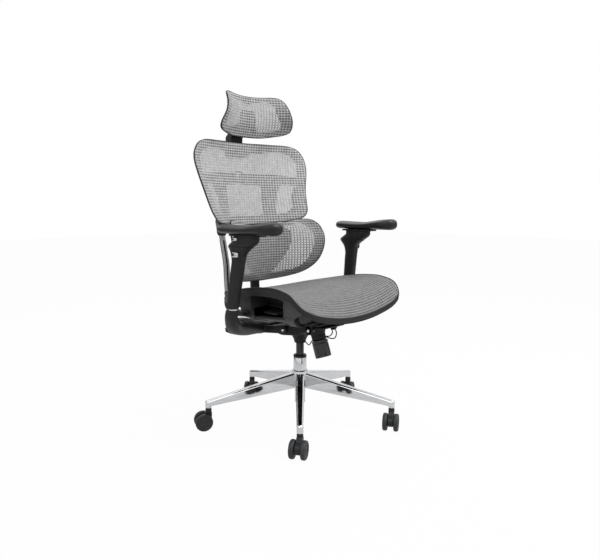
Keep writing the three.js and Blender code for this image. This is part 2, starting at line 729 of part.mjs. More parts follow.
// Finger paddles in the side recesses, each pulling a cable.
function paddle(side) {
  const profile = [[-6, paddleRise], [8, paddleRise], [36, 3], [44, -1], [40, -5], [0, -5], [-6, 0]];
  const shape = new THREE.Shape(profile.map(([out, up]) => new THREE.Vector2(out, up)));
  const geometry = new THREE.ExtrudeGeometry(shape, { depth: 56, bevelEnabled: false });
  geometry.rotateX(Math.PI / 2).translate(0, 28, 0);
  if (side < 0) geometry.rotateZ(Math.PI);
  return geometry.translate(side * paddleX, paddleY, paddleZ);
}
piece('height_paddle', paddle(-1), softBlack);
piece('tilt_lock_paddle', paddle(1), softBlack);

// Recline yoke: fork on the recline pin, cross beam, arm elbows and sockets for the back's two columns.
const armAt = (side) => (z) => [side * (armX - armLeanInward * (z - armElbowTop)),
  armFootY - armLeanForward * (z - armElbowTop)];
const uprightLine = through([[uprightFoot, 404], [410, 408], [460, 412], [500, 414.2],
  [uprightStraightFrom, uprightStraightY], [uprightStraightFrom + 30, uprightStraightY + 30 * uprightSlope]]);
const uprightY = (z) => (z < uprightStraightFrom ? uprightLine(z)
  : uprightStraightY + uprightSlope * (z - uprightStraightFrom));
const columnY = (z) => lumbarColumnFootY + lumbarColumnSlope * (z - columnSocketTop);
const uprightAt = (z) => [0, uprightY(z)];
const columnAt = (z) => [0, columnY(z)];
const upDown = (z0, z1, lineAt, halfX, halfY, power = 3) => stack([z0, z1]
  .map((z) => [...lineAt(z), z, halfX, halfY]), 16, power);

// A length of the upright's section, or with a clearance the well that it stands in.
const uprightAround = (heights, clearance = 0) => stack(heights.map((z) => [...uprightAt(z), z,
  uprightHalfWidth + clearance, uprightHalfDepth + clearance]), 12, 4);

function elbow(side) {
  const sweep = mirrored(side, [[40, 146, 322, 21, 28], [100, 144, 331, 27, 36], [150, 127, 341, 31, 37],
    [200, 98, 352, 29, 33], [241, 68, 364, 25, 27], [268, 44, 384, 20, 25], [283, 30, 408, 17, 23]]);
  const rise = [armElbowTop, armElbowTop + 20].map((z) => [...armAt(side)(z), z, sleeveHalfWidth,
    sleeveHalfDepth]);
  return bar([...sweep, ...rise], 14, 2.4);
}
function fork(side) {
  const reach = 132;
  const profile = new THREE.Shape();
  profile.absarc(reclinePivotY, reclinePivotZ, forkRadius, 0.5 * Math.PI, 1.5 * Math.PI, false);
  profile.lineTo(reach, 304);
  profile.lineTo(reach, 330);
  const points = profile.extractPoints(8).shape.map((p) => [p.x, p.y]);
  return across(points, forkThickness, side * lugX);
}
function reclineYoke() {
  const beam = bar([[-74, 146, 320, 19, 28], [0, 150, 319, 19, 29], [74, 146, 320, 19, 28]], 14, 2.6);
  const columnSocket = lumbarColumnHalfWidth + 4;
  const columnArm = bar([[0, 158, 322, 12, 24], [0, 200, 328, 12, 24], [0, 230, 350, 13, 24],
    [0, columnY(384), 384, 13, columnSocket], [0, columnY(420), 420, 13, columnSocket]],
  12, 3, vec(1, 0, 0));
  const spineArm = bar([[0, 150, 326, 14, 20], [0, 220, 340, 13, 19], [0, 290, 345, 12.5, 18],
    [0, 350, 342, 12.5, 18], [0, 386, 348, 12.5, 18], [0, 404, 368, 11, 18],
    [0, uprightY(390), 390, 10, 18], [0, uprightY(420), 420, 10, 18]],
  12, 3, vec(1, 0, 0));
  const arms = [-1, 1].flatMap((side) => [elbow(side), fork(side)]);
  const tops = [
    box(-60, 60, 340, 460, spineSocketTop, 460),
    box(-60, 60, 180, 300, columnSocketTop, 460),
    ...[-1, 1].map((side) => box(side * armX - 60, side * armX + 60, -60, 100, armElbowTop, 500)),
  ];
  const wells = [
    uprightAround([uprightFoot, 410, 430], gap),
    upDown(columnSocketTop - 30, 430, columnAt, lumbarColumnHalfWidth + gap,
      lumbarColumnHalfDepth + gap, 4),
    ...[-1, 1].map((side) => upDown(armCoreBottom, armElbowTop + 4, armAt(side), armCoreHalfWidth + gap,
      armCoreHalfDepth + gap)),
  ];
  const pinBore = crossPin(pinRadius + gap, 2 * pinLength, reclinePivotY, reclinePivotZ);
  return cut(cut(join(beam, columnArm, spineArm, ...arms), ...tops), pinBore, ...wells);
}
piece('recline_yoke', reclineYoke(), blackPlastic);

// Aluminium upright, slotted, from the yoke's rear socket to the back's carriage.
function spineUpright() {
  const blade = uprightAround([uprightFoot + gap, 410, 430, 460, 500, uprightStraightFrom, uprightTop]);
  const slotHeights = [416, 460, 500, uprightStraightFrom, carriageBottom - 18];
  const slot = stack(slotHeights.map((z) => [...uprightAt(z), z, uprightHalfWidth / 3, 2 * uprightHalfDepth]),
    8, 6);
  return cut(blade, slot);
}
piece('spine_upright', spineUpright(), aluminium);

// Back carriage: a cap that slides on the upright, with two arms forward to the back's leg feet.
function backCarriage() {
  const cap = stack([carriageBottom, carriageBottom + 6, carriageTop - 8, carriageTop].map((z, i) => {
    const swell = i === 0 || i === 3 ? 0 : 1.5;
    return [0, uprightY(z), z, uprightHalfWidth + 3 + swell, uprightHalfDepth + 4 + swell];
  }), 16, 4);
  const well = uprightAround([carriageBottom - 1, uprightTop + gap], gap);
  const arms = [-1, 1].flatMap((side) => [
    bar(mirrored(side, [[0, 447, 676, 9, 16], [28, 420, 684, 11, 15], [66, 376, 696, 11, 14],
      [94, 332, 706, 10, 14], [legFootX, legFootRear + 6, 710, 10, 14]]), 12, 2.6, vec(0, 0, 1)),
    box(side * legFootX - 15, side * legFootX + 15, legFootRear + gap, legFootRear + 12,
      legFootBottom, legFootTop)]);
  return cut(join(cap, ...arms), well);
}
piece('back_carriage', backCarriage(), blackPlastic);

// Upper back: mesh over a ring frame. Two legs rise from the carriage to a cross band, and two wings
// run out from the legs to the ring.
const backMiddle = (backBottom + backTop) / 2;
const backLine = through([[0, 284], [0.2, 292], [0.5, 300], [0.8, 302], [1, 296]]);
const backWrap = through([[0, 128], [0.07, 122], [0.2, 104], [0.5, 71], [0.65, 60], [0.8, 50], [1, 44]]);
const wrapSpan = 235;
function backPlace(x, z, depth) {
  const share = (z - backBottom) / backHeight;
  return vec(x, backLine(share) - backWrap(share) * (x / wrapSpan) ** 2 + depth, z);
}
const backOutline = outline([[0, 0], [0.5, 0.012], [0.78, 0.07], [0.89, 0.2], [0.985, 0.5], [1.015, 0.66],
  [1.005, 0.8], [0.975, 0.91], [0.86, 0.978], [0.45, 0.995], [0, 1]], backHalfWidth, backBottom, backTop, 38);
const ringBack = fabric + frameThickness;
const ringSection = (border) => [[0, fabric + gap], [border, fabric + gap], [border, ringBack],
  [1, ringBack]];
const backBorderAt = (x, z) => THREE.MathUtils.lerp(backBorder, backTopBorder,
  THREE.MathUtils.smoothstep(z, backTop - 60, backTop - 10));
piece('back_mesh', sheet([backOutline, inset(backOutline, backMiddle, backBorderAt)], backMiddle, backPlace,
  0, fabric), greyMesh);

function backFrame() {
  const ring = ringAround(backOutline, backMiddle, backPlace, ringSection(backBorderAt));
  const behind = (x, z, off) => backPlace(x, z, ringBack).y + off;
  const frameSides = [-1, 1].flatMap((side) => [
    bar(mirrored(side, [[106, 285, 722, 13, 8], [109, 291, 780, 12, 7], [115, 298, 830, 12, 7],
      [118, 301, 870, 13, 7]]), 12, 3),
    bar(mirrored(side, [[112, 292, 792, 14, 6], [146, behind(146, 820, 4), 820, 11, 6],
      [182, behind(182, 846, 2), 846, 11, 5], [212, behind(212, 874, 1), 874, 11, 4]]), 12, 3),
    bar(mirrored(side, [[122, 301, 874, 13, 7], [70, 320, 876, 12, 7], [0, hubY, hubZ + 2, 16, 8]]), 12, 3),
    box(side * legFootX - 12, side * legFootX + 12, 273, legFootRear, legFootBottom, legFootTop - 6)]);
  const hubHole = box(-5, 5, hubY - 60, hubY + 60, hubZ - 8, hubZ + 8);
  const socket = across([[300, socketTop - 4], [304, 956], [334, socketBottom], [postY + 18, socketBottom],
    [postY + 20, socketTop], [340, socketTop + 3]], 2 * postHalfWidth + 24);
  const well = box(-postHalfWidth - gap, postHalfWidth + gap, postY - postHalfDepth - gap,
    postY + postHalfDepth + gap, socketBottom - 5, socketTop + 10);
  return cut(join(ring, ...frameSides, socket), well, hubHole);
}
piece('back_frame', backFrame(), blackPlastic);

// Lumbar pad: mesh over a ring frame with a shield-shaped support plate and two ears for its pivot.
const lumbarMiddle = (lumbarBottom + lumbarTop) / 2;
const lumbarLine = through([[0, 204], [0.3, 194], [0.6, 194], [1, 208]]);
function lumbarPlace(x, z, depth) {
  const share = (z - lumbarBottom) / lumbarHeight;
  return vec(x, lumbarLine(share) - 122 * (x / 220) ** 2 + depth, z);
}
const lumbarOutline = outline([[0, 0], [0.4, 0.04], [0.75, 0.2], [0.95, 0.42], [1, 0.62], [0.97, 0.8],
  [0.86, 0.925], [0.68, 0.945], [0.4, 0.895], [0, 0.874]], lumbarHalfWidth, lumbarBottom, lumbarTop, 34);
piece('lumbar_mesh', sheet([lumbarOutline, inset(lumbarOutline, lumbarMiddle, lumbarBorder)], lumbarMiddle,
  lumbarPlace, 0, fabric, [0.66, 0.33]), greyMesh);

function lumbarFrame() {
  const ring = ringAround(lumbarOutline, lumbarMiddle, lumbarPlace, ringSection(lumbarBorder));
  const shield = outline([[0, 0], [0.3, 0.02], [0.75, 0.35], [1, 0.72], [0.98, 0.95], [0.6, 1], [0, 1]],
    120, 500, 678, 20);
  const plate = sheet([shield], 600, lumbarPlace, ringBack - 3, ringBack + 1, [0.5]);
  const ears = [-1, 1].map((side) => join(
    box(side * 34 - 4, side * 34 + 4, 198, lumbarPivotY, lumbarPivotZ - 9, lumbarPivotZ + 9),
    crossPin(9, 8, lumbarPivotY, lumbarPivotZ, 16).translate(side * 34, 0, 0)));
  const bore = crossPin(lumbarPinRadius + gap, 100, lumbarPivotY, lumbarPivotZ, 12);
  return cut(join(ring, plate, ...ears), bore);
}
piece('lumbar_frame', lumbarFrame(), blackPlastic);

// Lumbar column and the slider on it, which carries the pad's pivot pin.
const columnAround = (bottom, top, clearance = 0) => upDown(bottom, top, columnAt,
  lumbarColumnHalfWidth + clearance, lumbarColumnHalfDepth + clearance, 4);
piece('lumbar_column', columnAround(columnSocketTop - 30 + gap, lumbarColumnTop), blackPlastic);
function lumbarSlider() {
  const [low, high] = [lumbarPivotZ - 34, lumbarPivotZ + 30];
  const sleeve = columnAround(low, high, 7);
  const nose = lug(0, 50, 9, lumbarPivotY, lumbarPivotZ, lumbarPivotZ + 10);
  const body = cut(join(sleeve, nose), columnAround(low - 5, high + 5, gap));
  return join(body, crossPin(lumbarPinRadius, 80, lumbarPivotY, lumbarPivotZ, 12));
}
piece('lumbar_slider', lumbarSlider(), blackPlastic);

// Headrest: post in the back's socket, hinge barrel with its pin, ring frame and mesh.
const headMiddle = (headBottom + headTop) / 2;
const headLine = through([[0, 284], [0.3, 268], [0.6, 268], [1, 276]]);
const headWrap = through([[0, 56], [0.28, 64], [0.55, 90], [0.8, 92], [1, 74]]);
const headSpan = 170;
function headPlace(x, z, depth) {
  const share = (z - headBottom) / headHeight;
  return vec(x, headLine(share) - headWrap(share) * (x / headSpan) ** 2 + depth, z);
}
const headOutline = outline([[0, 0], [0.5, 0.03], [0.85, 0.12], [0.965, 0.27], [0.915, 0.5], [0.83, 0.74],
  [0.765, 0.9], [0.66, 0.992], [0.4, 0.975], [0, 1]], headHalfWidth, headBottom, headTop, 38);
piece('headrest_mesh', sheet([headOutline, inset(headOutline, headMiddle, headBorder)], headMiddle,
  headPlace, 0, fabric, [0.66, 0.33]), greyMesh);

const headBarrelHalf = 28;
const headEarThickness = 8;
function headrestFrame() {
  const ring = ringAround(headOutline, headMiddle, headPlace, ringSection(headBorder));
  const support = outline([[0, 0], [0.9, 0], [1, 0.2], [0.62, 0.9], [0.6, 1], [0, 1]], 52,
    headBottom + 12, headTop - 8, 16);
  const plate = sheet([support], headMiddle, headPlace, ringBack - 4, ringBack + 2, [0.5]);
  const ears = [-1, 1].map((side) => {
    const half = headEarThickness / 2;
    const x = side * (headBarrelHalf + runGap + half);
    return join(box(x - half, x + half, 276, headPivotY, headPivotZ - 9, headPivotZ + 9),
      crossPin(headBarrelRadius - 1, headEarThickness, headPivotY, headPivotZ, 20).translate(x, 0, 0));
  });
  const bore = crossPin(lumbarPinRadius + gap, 120, headPivotY, headPivotZ, 12);
  return cut(join(ring, plate, ...ears), bore);
}
piece('headrest_frame', headrestFrame(), blackPlastic);
function headrestPost() {
  const stem = box(-postHalfWidth, postHalfWidth, postY - postHalfDepth, postY + postHalfDepth,
    socketBottom + 4, socketTop + 8);
  const seat = socketTop + 3 + gap;
  const head = across([[postY - 15, seat], [postY + 22, seat], [postY + 22, 1020],
    [headPivotY + 4, headPivotZ + headBarrelRadius - 1], [headPivotY - 8, headPivotZ - 8],
    [postY - 15, 1016]], 2 * headBarrelHalf);
  const pinHalf = headBarrelHalf + runGap + headEarThickness;
  return join(stem, head, crossPin(headBarrelRadius, 2 * headBarrelHalf, headPivotY, headPivotZ, 20),
    crossPin(lumbarPinRadius, 2 * pinHalf, headPivotY, headPivotZ, 12));
}
piece('headrest_post', headrestPost(), blackPlastic);

// Arms: a core with its chrome ring, a sleeve with its head, a trigger, a plate and the pad.
const ringBottom = armElbowTop + gap;
const sleeveBottom = ringBottom + ringHeight + gap;
function armPad(x, bottom) {
  const section = (share) => {
    const round = Math.sqrt(Math.max(1 - Math.abs(2 * share - 1) ** 2.6, 0.02));
    const swell = THREE.MathUtils.smoothstep(share, 0.45, 0.85);
    const height = THREE.MathUtils.lerp(padRearHeight, padFrontHeight, swell);
    const half = height / 2 * (1 - 0.12 * Math.sin(Math.PI * share));
    return oval(12, 2.5).map(([out, up]) => vec(x + out * padHalfWidth * round,
      padCentreY + (0.5 - share) * padLength,
      bottom + half + Math.max(up * (0.55 + 0.45 * round), -1) * half));
  };
  return loft([0, 0.03, 0.1, 0.25, 0.45, 0.65, 0.82, 0.92, 0.97, 1].map(section));
}
for (const [label, side] of sides) {
  const at = armAt(side);
  const core = join(upDown(armCoreBottom + gap, armCoreTop, at, armCoreHalfWidth, armCoreHalfDepth),
    upDown(ringBottom, ringBottom + ringHeight, at, sleeveHalfWidth - 1, sleeveHalfDepth - 1, 2.4));
  piece(`arm_core_${label}`, core, chrome);

  const headX = side * armHeadX;
  const sleeve = stack([[...at(sleeveBottom), sleeveBottom, sleeveHalfWidth, sleeveHalfDepth],
    [...at(592), 592, sleeveHalfWidth + 3, sleeveHalfDepth + 2], [headX + side * 2, -2, 612, 21, 30],
    [headX, -5, 627, 22, 45], [headX, -8.5, 635, 23, 55.5], [headX, -26, 647, 23, 56],
    [headX, -36, 657, 23, 53], [headX, -36, armHeadTop, 23, 53]], 16, 2.6);
  const well = upDown(sleeveBottom - 2, armCoreTop + 4, at, armCoreHalfWidth + gap,
    armCoreHalfDepth + gap);
  const outside = { trigger: Math.abs(at(triggerZ)[0]) + 20.5, button: armHeadX + 23 };
  const pushed = (half, height, z, reach, loose) => {
    const inner = side * (reach - buttonDepth - (loose && buttonTravel + loose));
    const outer = side * (reach + buttonReach + 20 * loose);
    return box(Math.min(inner, outer), Math.max(inner, outer), buttonY - half - loose, buttonY + half + loose,
      z - height - loose, z + height + loose);
  };
  const trigger = [buttonHalfLength, 7.5, triggerZ, outside.trigger];
  const button = [buttonHalfLength - 1, 4.5, padButtonZ, outside.button];
  const pockets = [pushed(...trigger, gap), pushed(...button, gap)];
  piece(`arm_sleeve_${label}`, cut(sleeve, well, ...pockets), blackPlastic);
  piece(`arm_trigger_${label}`, pushed(...trigger, 0), chrome);
  piece(`arm_pad_button_${label}`, pushed(...button, 0), chrome);

  const plateBottom = armHeadTop + gap;
  piece(`arm_plate_${label}`, box(headX - 26, headX + 26, padCentreY - 40, padCentreY + 84, plateBottom,
    plateBottom + armPlate), blackPlastic);
  piece(`arm_pad_${label}`, armPad(side * padX, plateBottom + armPlate + gap), softBlack);
}

export default chair;
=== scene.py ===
# An ergonomic mesh office chair: the finish of every piece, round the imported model.
# Metres and +Z up. Pieces are drawn in millimetres about the gas lift's axis, as the frame lays them out.

from math import pi, radians, sin, cos
import bmesh
import bpy
import numpy as np
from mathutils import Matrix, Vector


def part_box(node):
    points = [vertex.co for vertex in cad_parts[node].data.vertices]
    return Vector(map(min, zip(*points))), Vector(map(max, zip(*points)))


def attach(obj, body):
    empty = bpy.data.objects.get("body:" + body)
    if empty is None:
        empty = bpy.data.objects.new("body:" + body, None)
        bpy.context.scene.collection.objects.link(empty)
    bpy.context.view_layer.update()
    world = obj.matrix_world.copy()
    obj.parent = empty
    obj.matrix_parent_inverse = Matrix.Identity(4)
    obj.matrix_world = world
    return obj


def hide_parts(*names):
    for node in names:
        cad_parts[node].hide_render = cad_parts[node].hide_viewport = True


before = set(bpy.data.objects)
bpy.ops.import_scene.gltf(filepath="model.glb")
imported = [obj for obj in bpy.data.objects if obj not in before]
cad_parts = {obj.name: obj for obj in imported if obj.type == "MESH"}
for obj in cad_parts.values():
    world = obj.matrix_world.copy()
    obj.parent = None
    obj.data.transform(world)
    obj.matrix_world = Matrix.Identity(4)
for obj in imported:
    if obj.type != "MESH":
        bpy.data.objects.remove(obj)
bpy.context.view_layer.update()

liftLow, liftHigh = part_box("lift_column")
liftAxis = np.array([(liftLow.x + liftHigh.x) / 2, (liftLow.y + liftHigh.y) / 2, 0])
millimetre = 0.001


def inFrame(points):
    # millimetres about the lift's axis to metres in the frame
    return np.asarray(points, float) * millimetre + liftAxis


def unit(vectors):
    # each vector divided by its length
    return vectors / np.maximum(np.linalg.norm(vectors, axis=-1, keepdims=True), 1e-12)


def smoothStep(value, low, high):
    # t^2 (3 - 2t), where t runs from 0 to 1 between the two limits
    t = np.clip((np.asarray(value, float) - low) / (high - low), 0, 1)
    return t * t * (3 - 2 * t)


def cubic(t, start, end, slopeStart, slopeEnd):
    # (2t^3 - 3t^2 + 1) start + (t^3 - 2t^2 + t) slopeStart + (3t^2 - 2t^3) end + (t^3 - t^2) slopeEnd
    return ((2 * t**3 - 3 * t**2 + 1) * start + (t**3 - 2 * t**2 + t) * slopeStart
            + (3 * t**2 - 2 * t**3) * end + (t**3 - t**2) * slopeEnd)


def hermite(stations, places, at):
    # cubic pieces through the stations, with slopes from their neighbours
    stations = np.asarray(stations, float)
    places = np.asarray(places, float)
    slopes = np.gradient(stations, places, axis=0)
    at = np.clip(at, places[0], places[-1])
    i = np.clip(np.searchsorted(places, at, side="right") - 1, 0, len(places) - 2)
    span = places[i + 1] - places[i]
    t = (at - places[i]) / span
    if stations.ndim > 1:
        span, t = span[:, None], t[:, None]
    return cubic(t, stations[i], stations[i + 1], span * slopes[i], span * slopes[i + 1])


def through(pairs):
    # a smooth value over [place, value] pairs
    places, values = np.array(pairs, float).T
    return lambda at: hermite(values, places, np.ravel(np.asarray(at, float))).reshape(np.shape(at))


def drawnThrough(stations, count):
    # rows of numbers run smoothly through the stations, spaced by the distance between their centres
    stations = np.asarray(stations, float)
    steps = np.linalg.norm(np.diff(stations[:, :3], axis=0), axis=1)
    places = np.concatenate([[0], np.cumsum(np.maximum(steps, 1e-3))])
    return hermite(stations, places, np.linspace(0, places[-1], count))


def catmullRom(p0, p1, p2, p3, count):
    # centripetal Catmull-Rom pieces from each p1 to its p2: knots lie the square root of a distance apart
    before, here, after = (np.sqrt(np.linalg.norm(b - a, axis=1))[:, None]
                           for a, b in ((p0, p1), (p1, p2), (p2, p3)))
    slope1 = ((p1 - p0) / before - (p2 - p0) / (before + here) + (p2 - p1) / here) * here
    slope2 = ((p2 - p1) / here - (p3 - p1) / (here + after) + (p3 - p2) / after) * here
    t = np.linspace(0, 1, count, endpoint=False)[None, :, None]
    pieces = cubic(t, p1[:, None], p2[:, None], slope1[:, None], slope2[:, None])
    return pieces.reshape(-1, p1.shape[1])


def oval(sides, power=2.0):
    # x = cos(t)^(2 / power), y = sin(t)^(2 / power), signs kept: it grows square as the power rises
    turn = (np.arange(sides) + 0.5) * 2 * pi / sides
    c, s = np.cos(turn), np.sin(turn)
    return np.sign(c) * np.abs(c) ** (2 / power), np.sign(s) * np.abs(s) ** (2 / power)


def soften(points, radius):
    # each corner of a loop becomes a three-point curve that starts and ends a radius away from it
    points = np.asarray(points, float)
    def toward(edge):
        length = np.linalg.norm(edge, axis=-1, keepdims=True)
        return edge * np.minimum(radius / np.maximum(length, 1e-9), 0.45)
    start = points + toward(np.roll(points, 1, axis=-2) - points)
    end = points + toward(np.roll(points, -1, axis=-2) - points)
    curved = np.stack([start, points * 0.5 + start * 0.25 + end * 0.25, end], axis=-2)
    return curved.reshape(points.shape[:-2] + (points.shape[-2] * 3, points.shape[-1]))


# a shape is (corners, faces, number of flat end faces at the list's end)
def skin(rings, isLoop=False, caps=True):
    # quads between neighbouring closed rings, and a flat face on each end
    rings = np.asarray(rings, float)
    rows, count = rings.shape[:2]
    i = np.arange(rows if isLoop else rows - 1)[:, None] * count
    up = (i + count) % (rows * count)
    j = np.arange(count)[None, :]
    k = (j + 1) % count
    faces = np.stack([i + j, i + k, up + k, up + j], axis=-1).reshape(-1, 4).tolist()
    flat = 0
    if caps and not isLoop:
        faces += [list(range(count))[::-1], list(range((rows - 1) * count, rows * count))]
        flat = 2
    return rings.reshape(-1, 3), faces, flat


def roundEnds(rings, radius, steps=4):
    # pulls both end rings back and closes them with a quarter circle of that radius
    rings = np.asarray(rings, float)
    angles = np.linspace(0, pi / 2, steps + 1)
    ends = []
    for ring, neighbour in ((rings[0], rings[1]), (rings[-1], rings[-2])):
        centre = ring.mean(axis=0)
        outward = unit(centre - neighbour.mean(axis=0))
        inward = unit(centre - ring)
        ends.append([ring + outward * radius * (sin(a) - 1) + inward * radius * (1 - cos(a))
                     for a in angles])
    return np.concatenate([ends[0][::-1], rings[1:-1], ends[1]])


def bar(stations, count=40, sides=28, power=2.0, reference=(0, 1, 0), rounding=0):
    # centre + across oval's x + deep oval's y, along a smooth path; deep is square to the path and nearest to
    # the reference, across is square to both; each station is [x, y, z, half size across, half depth]
    rows = drawnThrough(stations, count)
    centres = rows[:, :3]
    path = unit(np.gradient(centres, axis=0))
    toDepth = unit(np.asarray(reference, float) - path * (path @ np.asarray(reference, float))[:, None])
    toSide = np.cross(toDepth, path)
    across, deep = oval(sides, power)
    rings = (centres[:, None] + toSide[:, None] * (across[None, :] * rows[:, 3:4])[..., None]
             + toDepth[:, None] * (deep[None, :] * rows[:, 4:5])[..., None])
    return skin(roundEnds(rings, rounding) if rounding else rings)


def stack(stations, count=40, sides=32, power=3.0, rounding=0):
    # level ovals over each other: centre + oval x half sizes; each station is [x, y, z, half size in X, in Y]
    rows = drawnThrough(stations, count)
    p, q = oval(sides, power)
    rings = np.stack([rows[:, :1] + p * rows[:, 3:4], rows[:, 1:2] + q * rows[:, 4:5],
                      rows[:, 2:3] + 0 * p], axis=-1)
    return skin(roundEnds(rings, rounding) if rounding else rings)


def turned(profile, sides=72, rounding=0.0, isClosed=False):
    # x = radius cos(t), y = radius sin(t), z = height, from the profile's [radius, height] points and with t
    # all the way round; a closed profile makes a ring
    profile = np.asarray(profile, float)
    if rounding:
        ends = profile[:1], profile[-1:]
        profile = soften(profile, rounding)
        if not isClosed:
            profile = np.concatenate([ends[0], profile[3:-3], ends[1]])
    turn = np.arange(sides) * 2 * pi / sides
    rings = np.stack([np.outer(profile[:, 0], np.cos(turn)), np.outer(profile[:, 0], np.sin(turn)),
                      np.repeat(profile[:, 1:], sides, axis=1)], axis=-1)
    return skin(rings, isLoop=isClosed, caps=profile[0, 0] > 0)


def rod(radius, low, high, sides=48, rounding=0.8):
    # a plain round rod that stands on Z
    return turned([[0, low], [radius, low], [radius, high], [0, high]], sides, rounding)


def carried(profile, x0, x1, rounding=1.0, corner=1.5):
    # a closed [y, z] profile carried along X, with softened corners and ends
    profile = soften(np.asarray(profile, float), corner)
    edge = np.roll(profile, -1, axis=0) - np.roll(profile, 1, axis=0)
    area = np.sum(profile[:, 0] * np.roll(profile[:, 1], -1) - profile[:, 1] * np.roll(profile[:, 0], -1))
    outward = unit(np.stack([edge[:, 1], -edge[:, 0]], axis=1)) * np.sign(area)
    rings = []
    for start, direction in ((x0, -1), (x1, 1)):
        for a in np.linspace(0, pi / 2, 5)[::direction]:
            inner = profile - outward * rounding * (1 - cos(a))
            x = start + direction * rounding * (sin(a) - 1)
            rings.append(np.column_stack([np.full(len(inner), x), inner]))
    return skin(np.array(rings))


def block(x0, x1, y0, y1, z0, z1, rounding=1.0):
    # a box with softened edges, between two places along each axis
    return carried([[y0, z0], [y1, z0], [y1, z1], [y0, z1]], *sorted((x0, x1)), rounding, rounding)


def moved(shape, turn=None, by=(0, 0, 0)):
    # turns a shape by a matrix, then moves it
    points = shape[0] if turn is None else shape[0] @ np.asarray(turn).T
    return points + np.asarray(by, float), shape[1], shape[2]


def turnAbout(axis, angle):
    # the matrix that turns points by an angle in degrees about X, Y or Z
    c, s = cos(radians(angle)), sin(radians(angle))
    return np.array({"X": [[1, 0, 0], [0, c, -s], [0, s, c]], "Y": [[c, 0, s], [0, 1, 0], [-s, 0, c]],
                     "Z": [[c, -s, 0], [s, c, 0], [0, 0, 1]]}[axis])


def crossPin(radius, length, y, z, x=0, rounding=0.8):
    # a round pin that lies along X
    return moved(rod(radius, -length / 2, length / 2, 48, rounding), turnAbout("Y", 90), (x, y, z))


def mirrored(side, stations):
    # the stations on the left, or mirrored to the right where side is -1
    return [[side * row[0], *row[1:]] for row in stations]


def settle(mesh):
    # merges corners that meet at a pole and turns every closed skin outwards
    work = bmesh.new()
    work.from_mesh(mesh)
    bmesh.ops.remove_doubles(work, verts=work.verts, dist=2e-6)
    bmesh.ops.recalc_face_normals(work, faces=work.faces)
    work.to_mesh(mesh)
    work.free()
    mesh.update()


def putInScene(name, data):
    thing = bpy.data.objects.new(name, data)
    bpy.context.scene.collection.objects.link(thing)
    return thing


def makeObject(name, shapes):
    # joins the shapes in one mesh; flat end faces stay flat
    points, faces, flats, start = [], [], [], 0
    for corner, face, flat in shapes:
        points.append(corner)
        faces += [[start + c for c in f] for f in face]
        flats += [False] * (len(face) - flat) + [True] * flat
        start += len(corner)
    mesh = bpy.data.meshes.new(name)
    mesh.from_pydata(inFrame(np.concatenate(points)).tolist(), [], faces)
    mesh.polygons.foreach_set("use_smooth", [not f for f in flats])
    settle(mesh)
    return putInScene(name, mesh)


def cast(shapes, voxel=2.0, smoothing=6):
    # one skin over several solids that run into each other, as a casting has
    piece = makeObject("casting", shapes)
    remesh = piece.modifiers.new("remesh", "REMESH")
    remesh.mode = "VOXEL"
    remesh.voxel_size = voxel * millimetre
    soft = piece.modifiers.new("soften", "SMOOTH")
    soft.factor = 0.5
    soft.iterations = smoothing
    graph = bpy.context.evaluated_depsgraph_get()
    drawn = piece.data
    mesh = bpy.data.meshes.new_from_object(piece.evaluated_get(graph))
    points = np.empty(len(mesh.vertices) * 3)
    mesh.vertices.foreach_get("co", points)
    faces = [list(p.vertices) for p in mesh.polygons]
    bpy.data.objects.remove(piece)
    bpy.data.meshes.remove(drawn)
    bpy.data.meshes.remove(mesh)
    return (points.reshape(-1, 3) - liftAxis) / millimetre, faces, 0


def declare(piece, body, finish, replaces=()):
    # gives a piece its finish and the body it rides on, and hides the CAD nodes that it stands for
    piece.data.materials.append(finish)
    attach(piece, body)
    if replaces:
        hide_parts(*replaces)
    return piece


def addPiece(name, shapes, body, finish, replaces=(), sharpAt=34):
    piece = makeObject(name, shapes)
    piece.data.set_sharp_from_angle(angle=radians(sharpAt))
    return declare(piece, body, finish, replaces)


def onBearing(bearing, reach, height):
    # a place round the lift's axis; bearing 0 lies in front of the chair and 90 at its left
    a = radians(bearing)
    return liftAxis + np.array([reach * sin(a), -reach * cos(a), height])


shot = dict(bearing=-45, reach=2.056, height=0.768, pitch=7.34, lens=35.46, sensor=36, farthest=60)


def addCamera():
    # stands on a bearing from the lift's axis and looks across it
    camera = bpy.data.cameras.new("camera")
    camera.lens = shot["lens"]
    camera.sensor_width = shot["sensor"]
    camera.clip_end = shot["farthest"]
    holder = putInScene("camera", camera)
    holder.location = onBearing(shot["bearing"], shot["reach"], shot["height"])
    holder.rotation_euler = (radians(90 - shot["pitch"]), 0, radians(shot["bearing"]))
    bpy.context.scene.camera = holder


addCamera()


def plug(place, value):
    # links a socket to another, or sets its number or colour
    if isinstance(value, Socket):
        value = value.link
    if isinstance(value, bpy.types.NodeSocket):
        place.id_data.links.new(value, place)
    else:
        place.default_value = value


class Socket:
    # a material's number; arithmetic on it adds Math nodes
    def __init__(self, link):
        self.link = link

    def math(self, operation, *others):
        node = self.link.id_data.nodes.new("ShaderNodeMath")
        node.operation = operation
        for place, value in zip(node.inputs, (self, *others)):
            plug(place, value)
        return Socket(node.outputs[0])

    def __add__(self, other):
        return self.math("ADD", other)

    def __sub__(self, other):
        return self.math("SUBTRACT", other)

    def __rsub__(self, other):
        return (self * -1) + other

    def __mul__(self, other):
        return self.math("MULTIPLY", other)

    def __truediv__(self, other):
        return self.math("DIVIDE", other)

    __radd__ = __add__
    __rmul__ = __mul__

    def step(self, low, high):
        # rises smoothly from 0 to 1 between two values
        node = self.link.id_data.nodes.new("ShaderNodeMapRange")
        node.interpolation_type = "SMOOTHSTEP"
        for name, value in (("Value", self), ("From Min", low), ("From Max", high)):
            plug(node.inputs[name], value)
        return Socket(node.outputs["Result"])


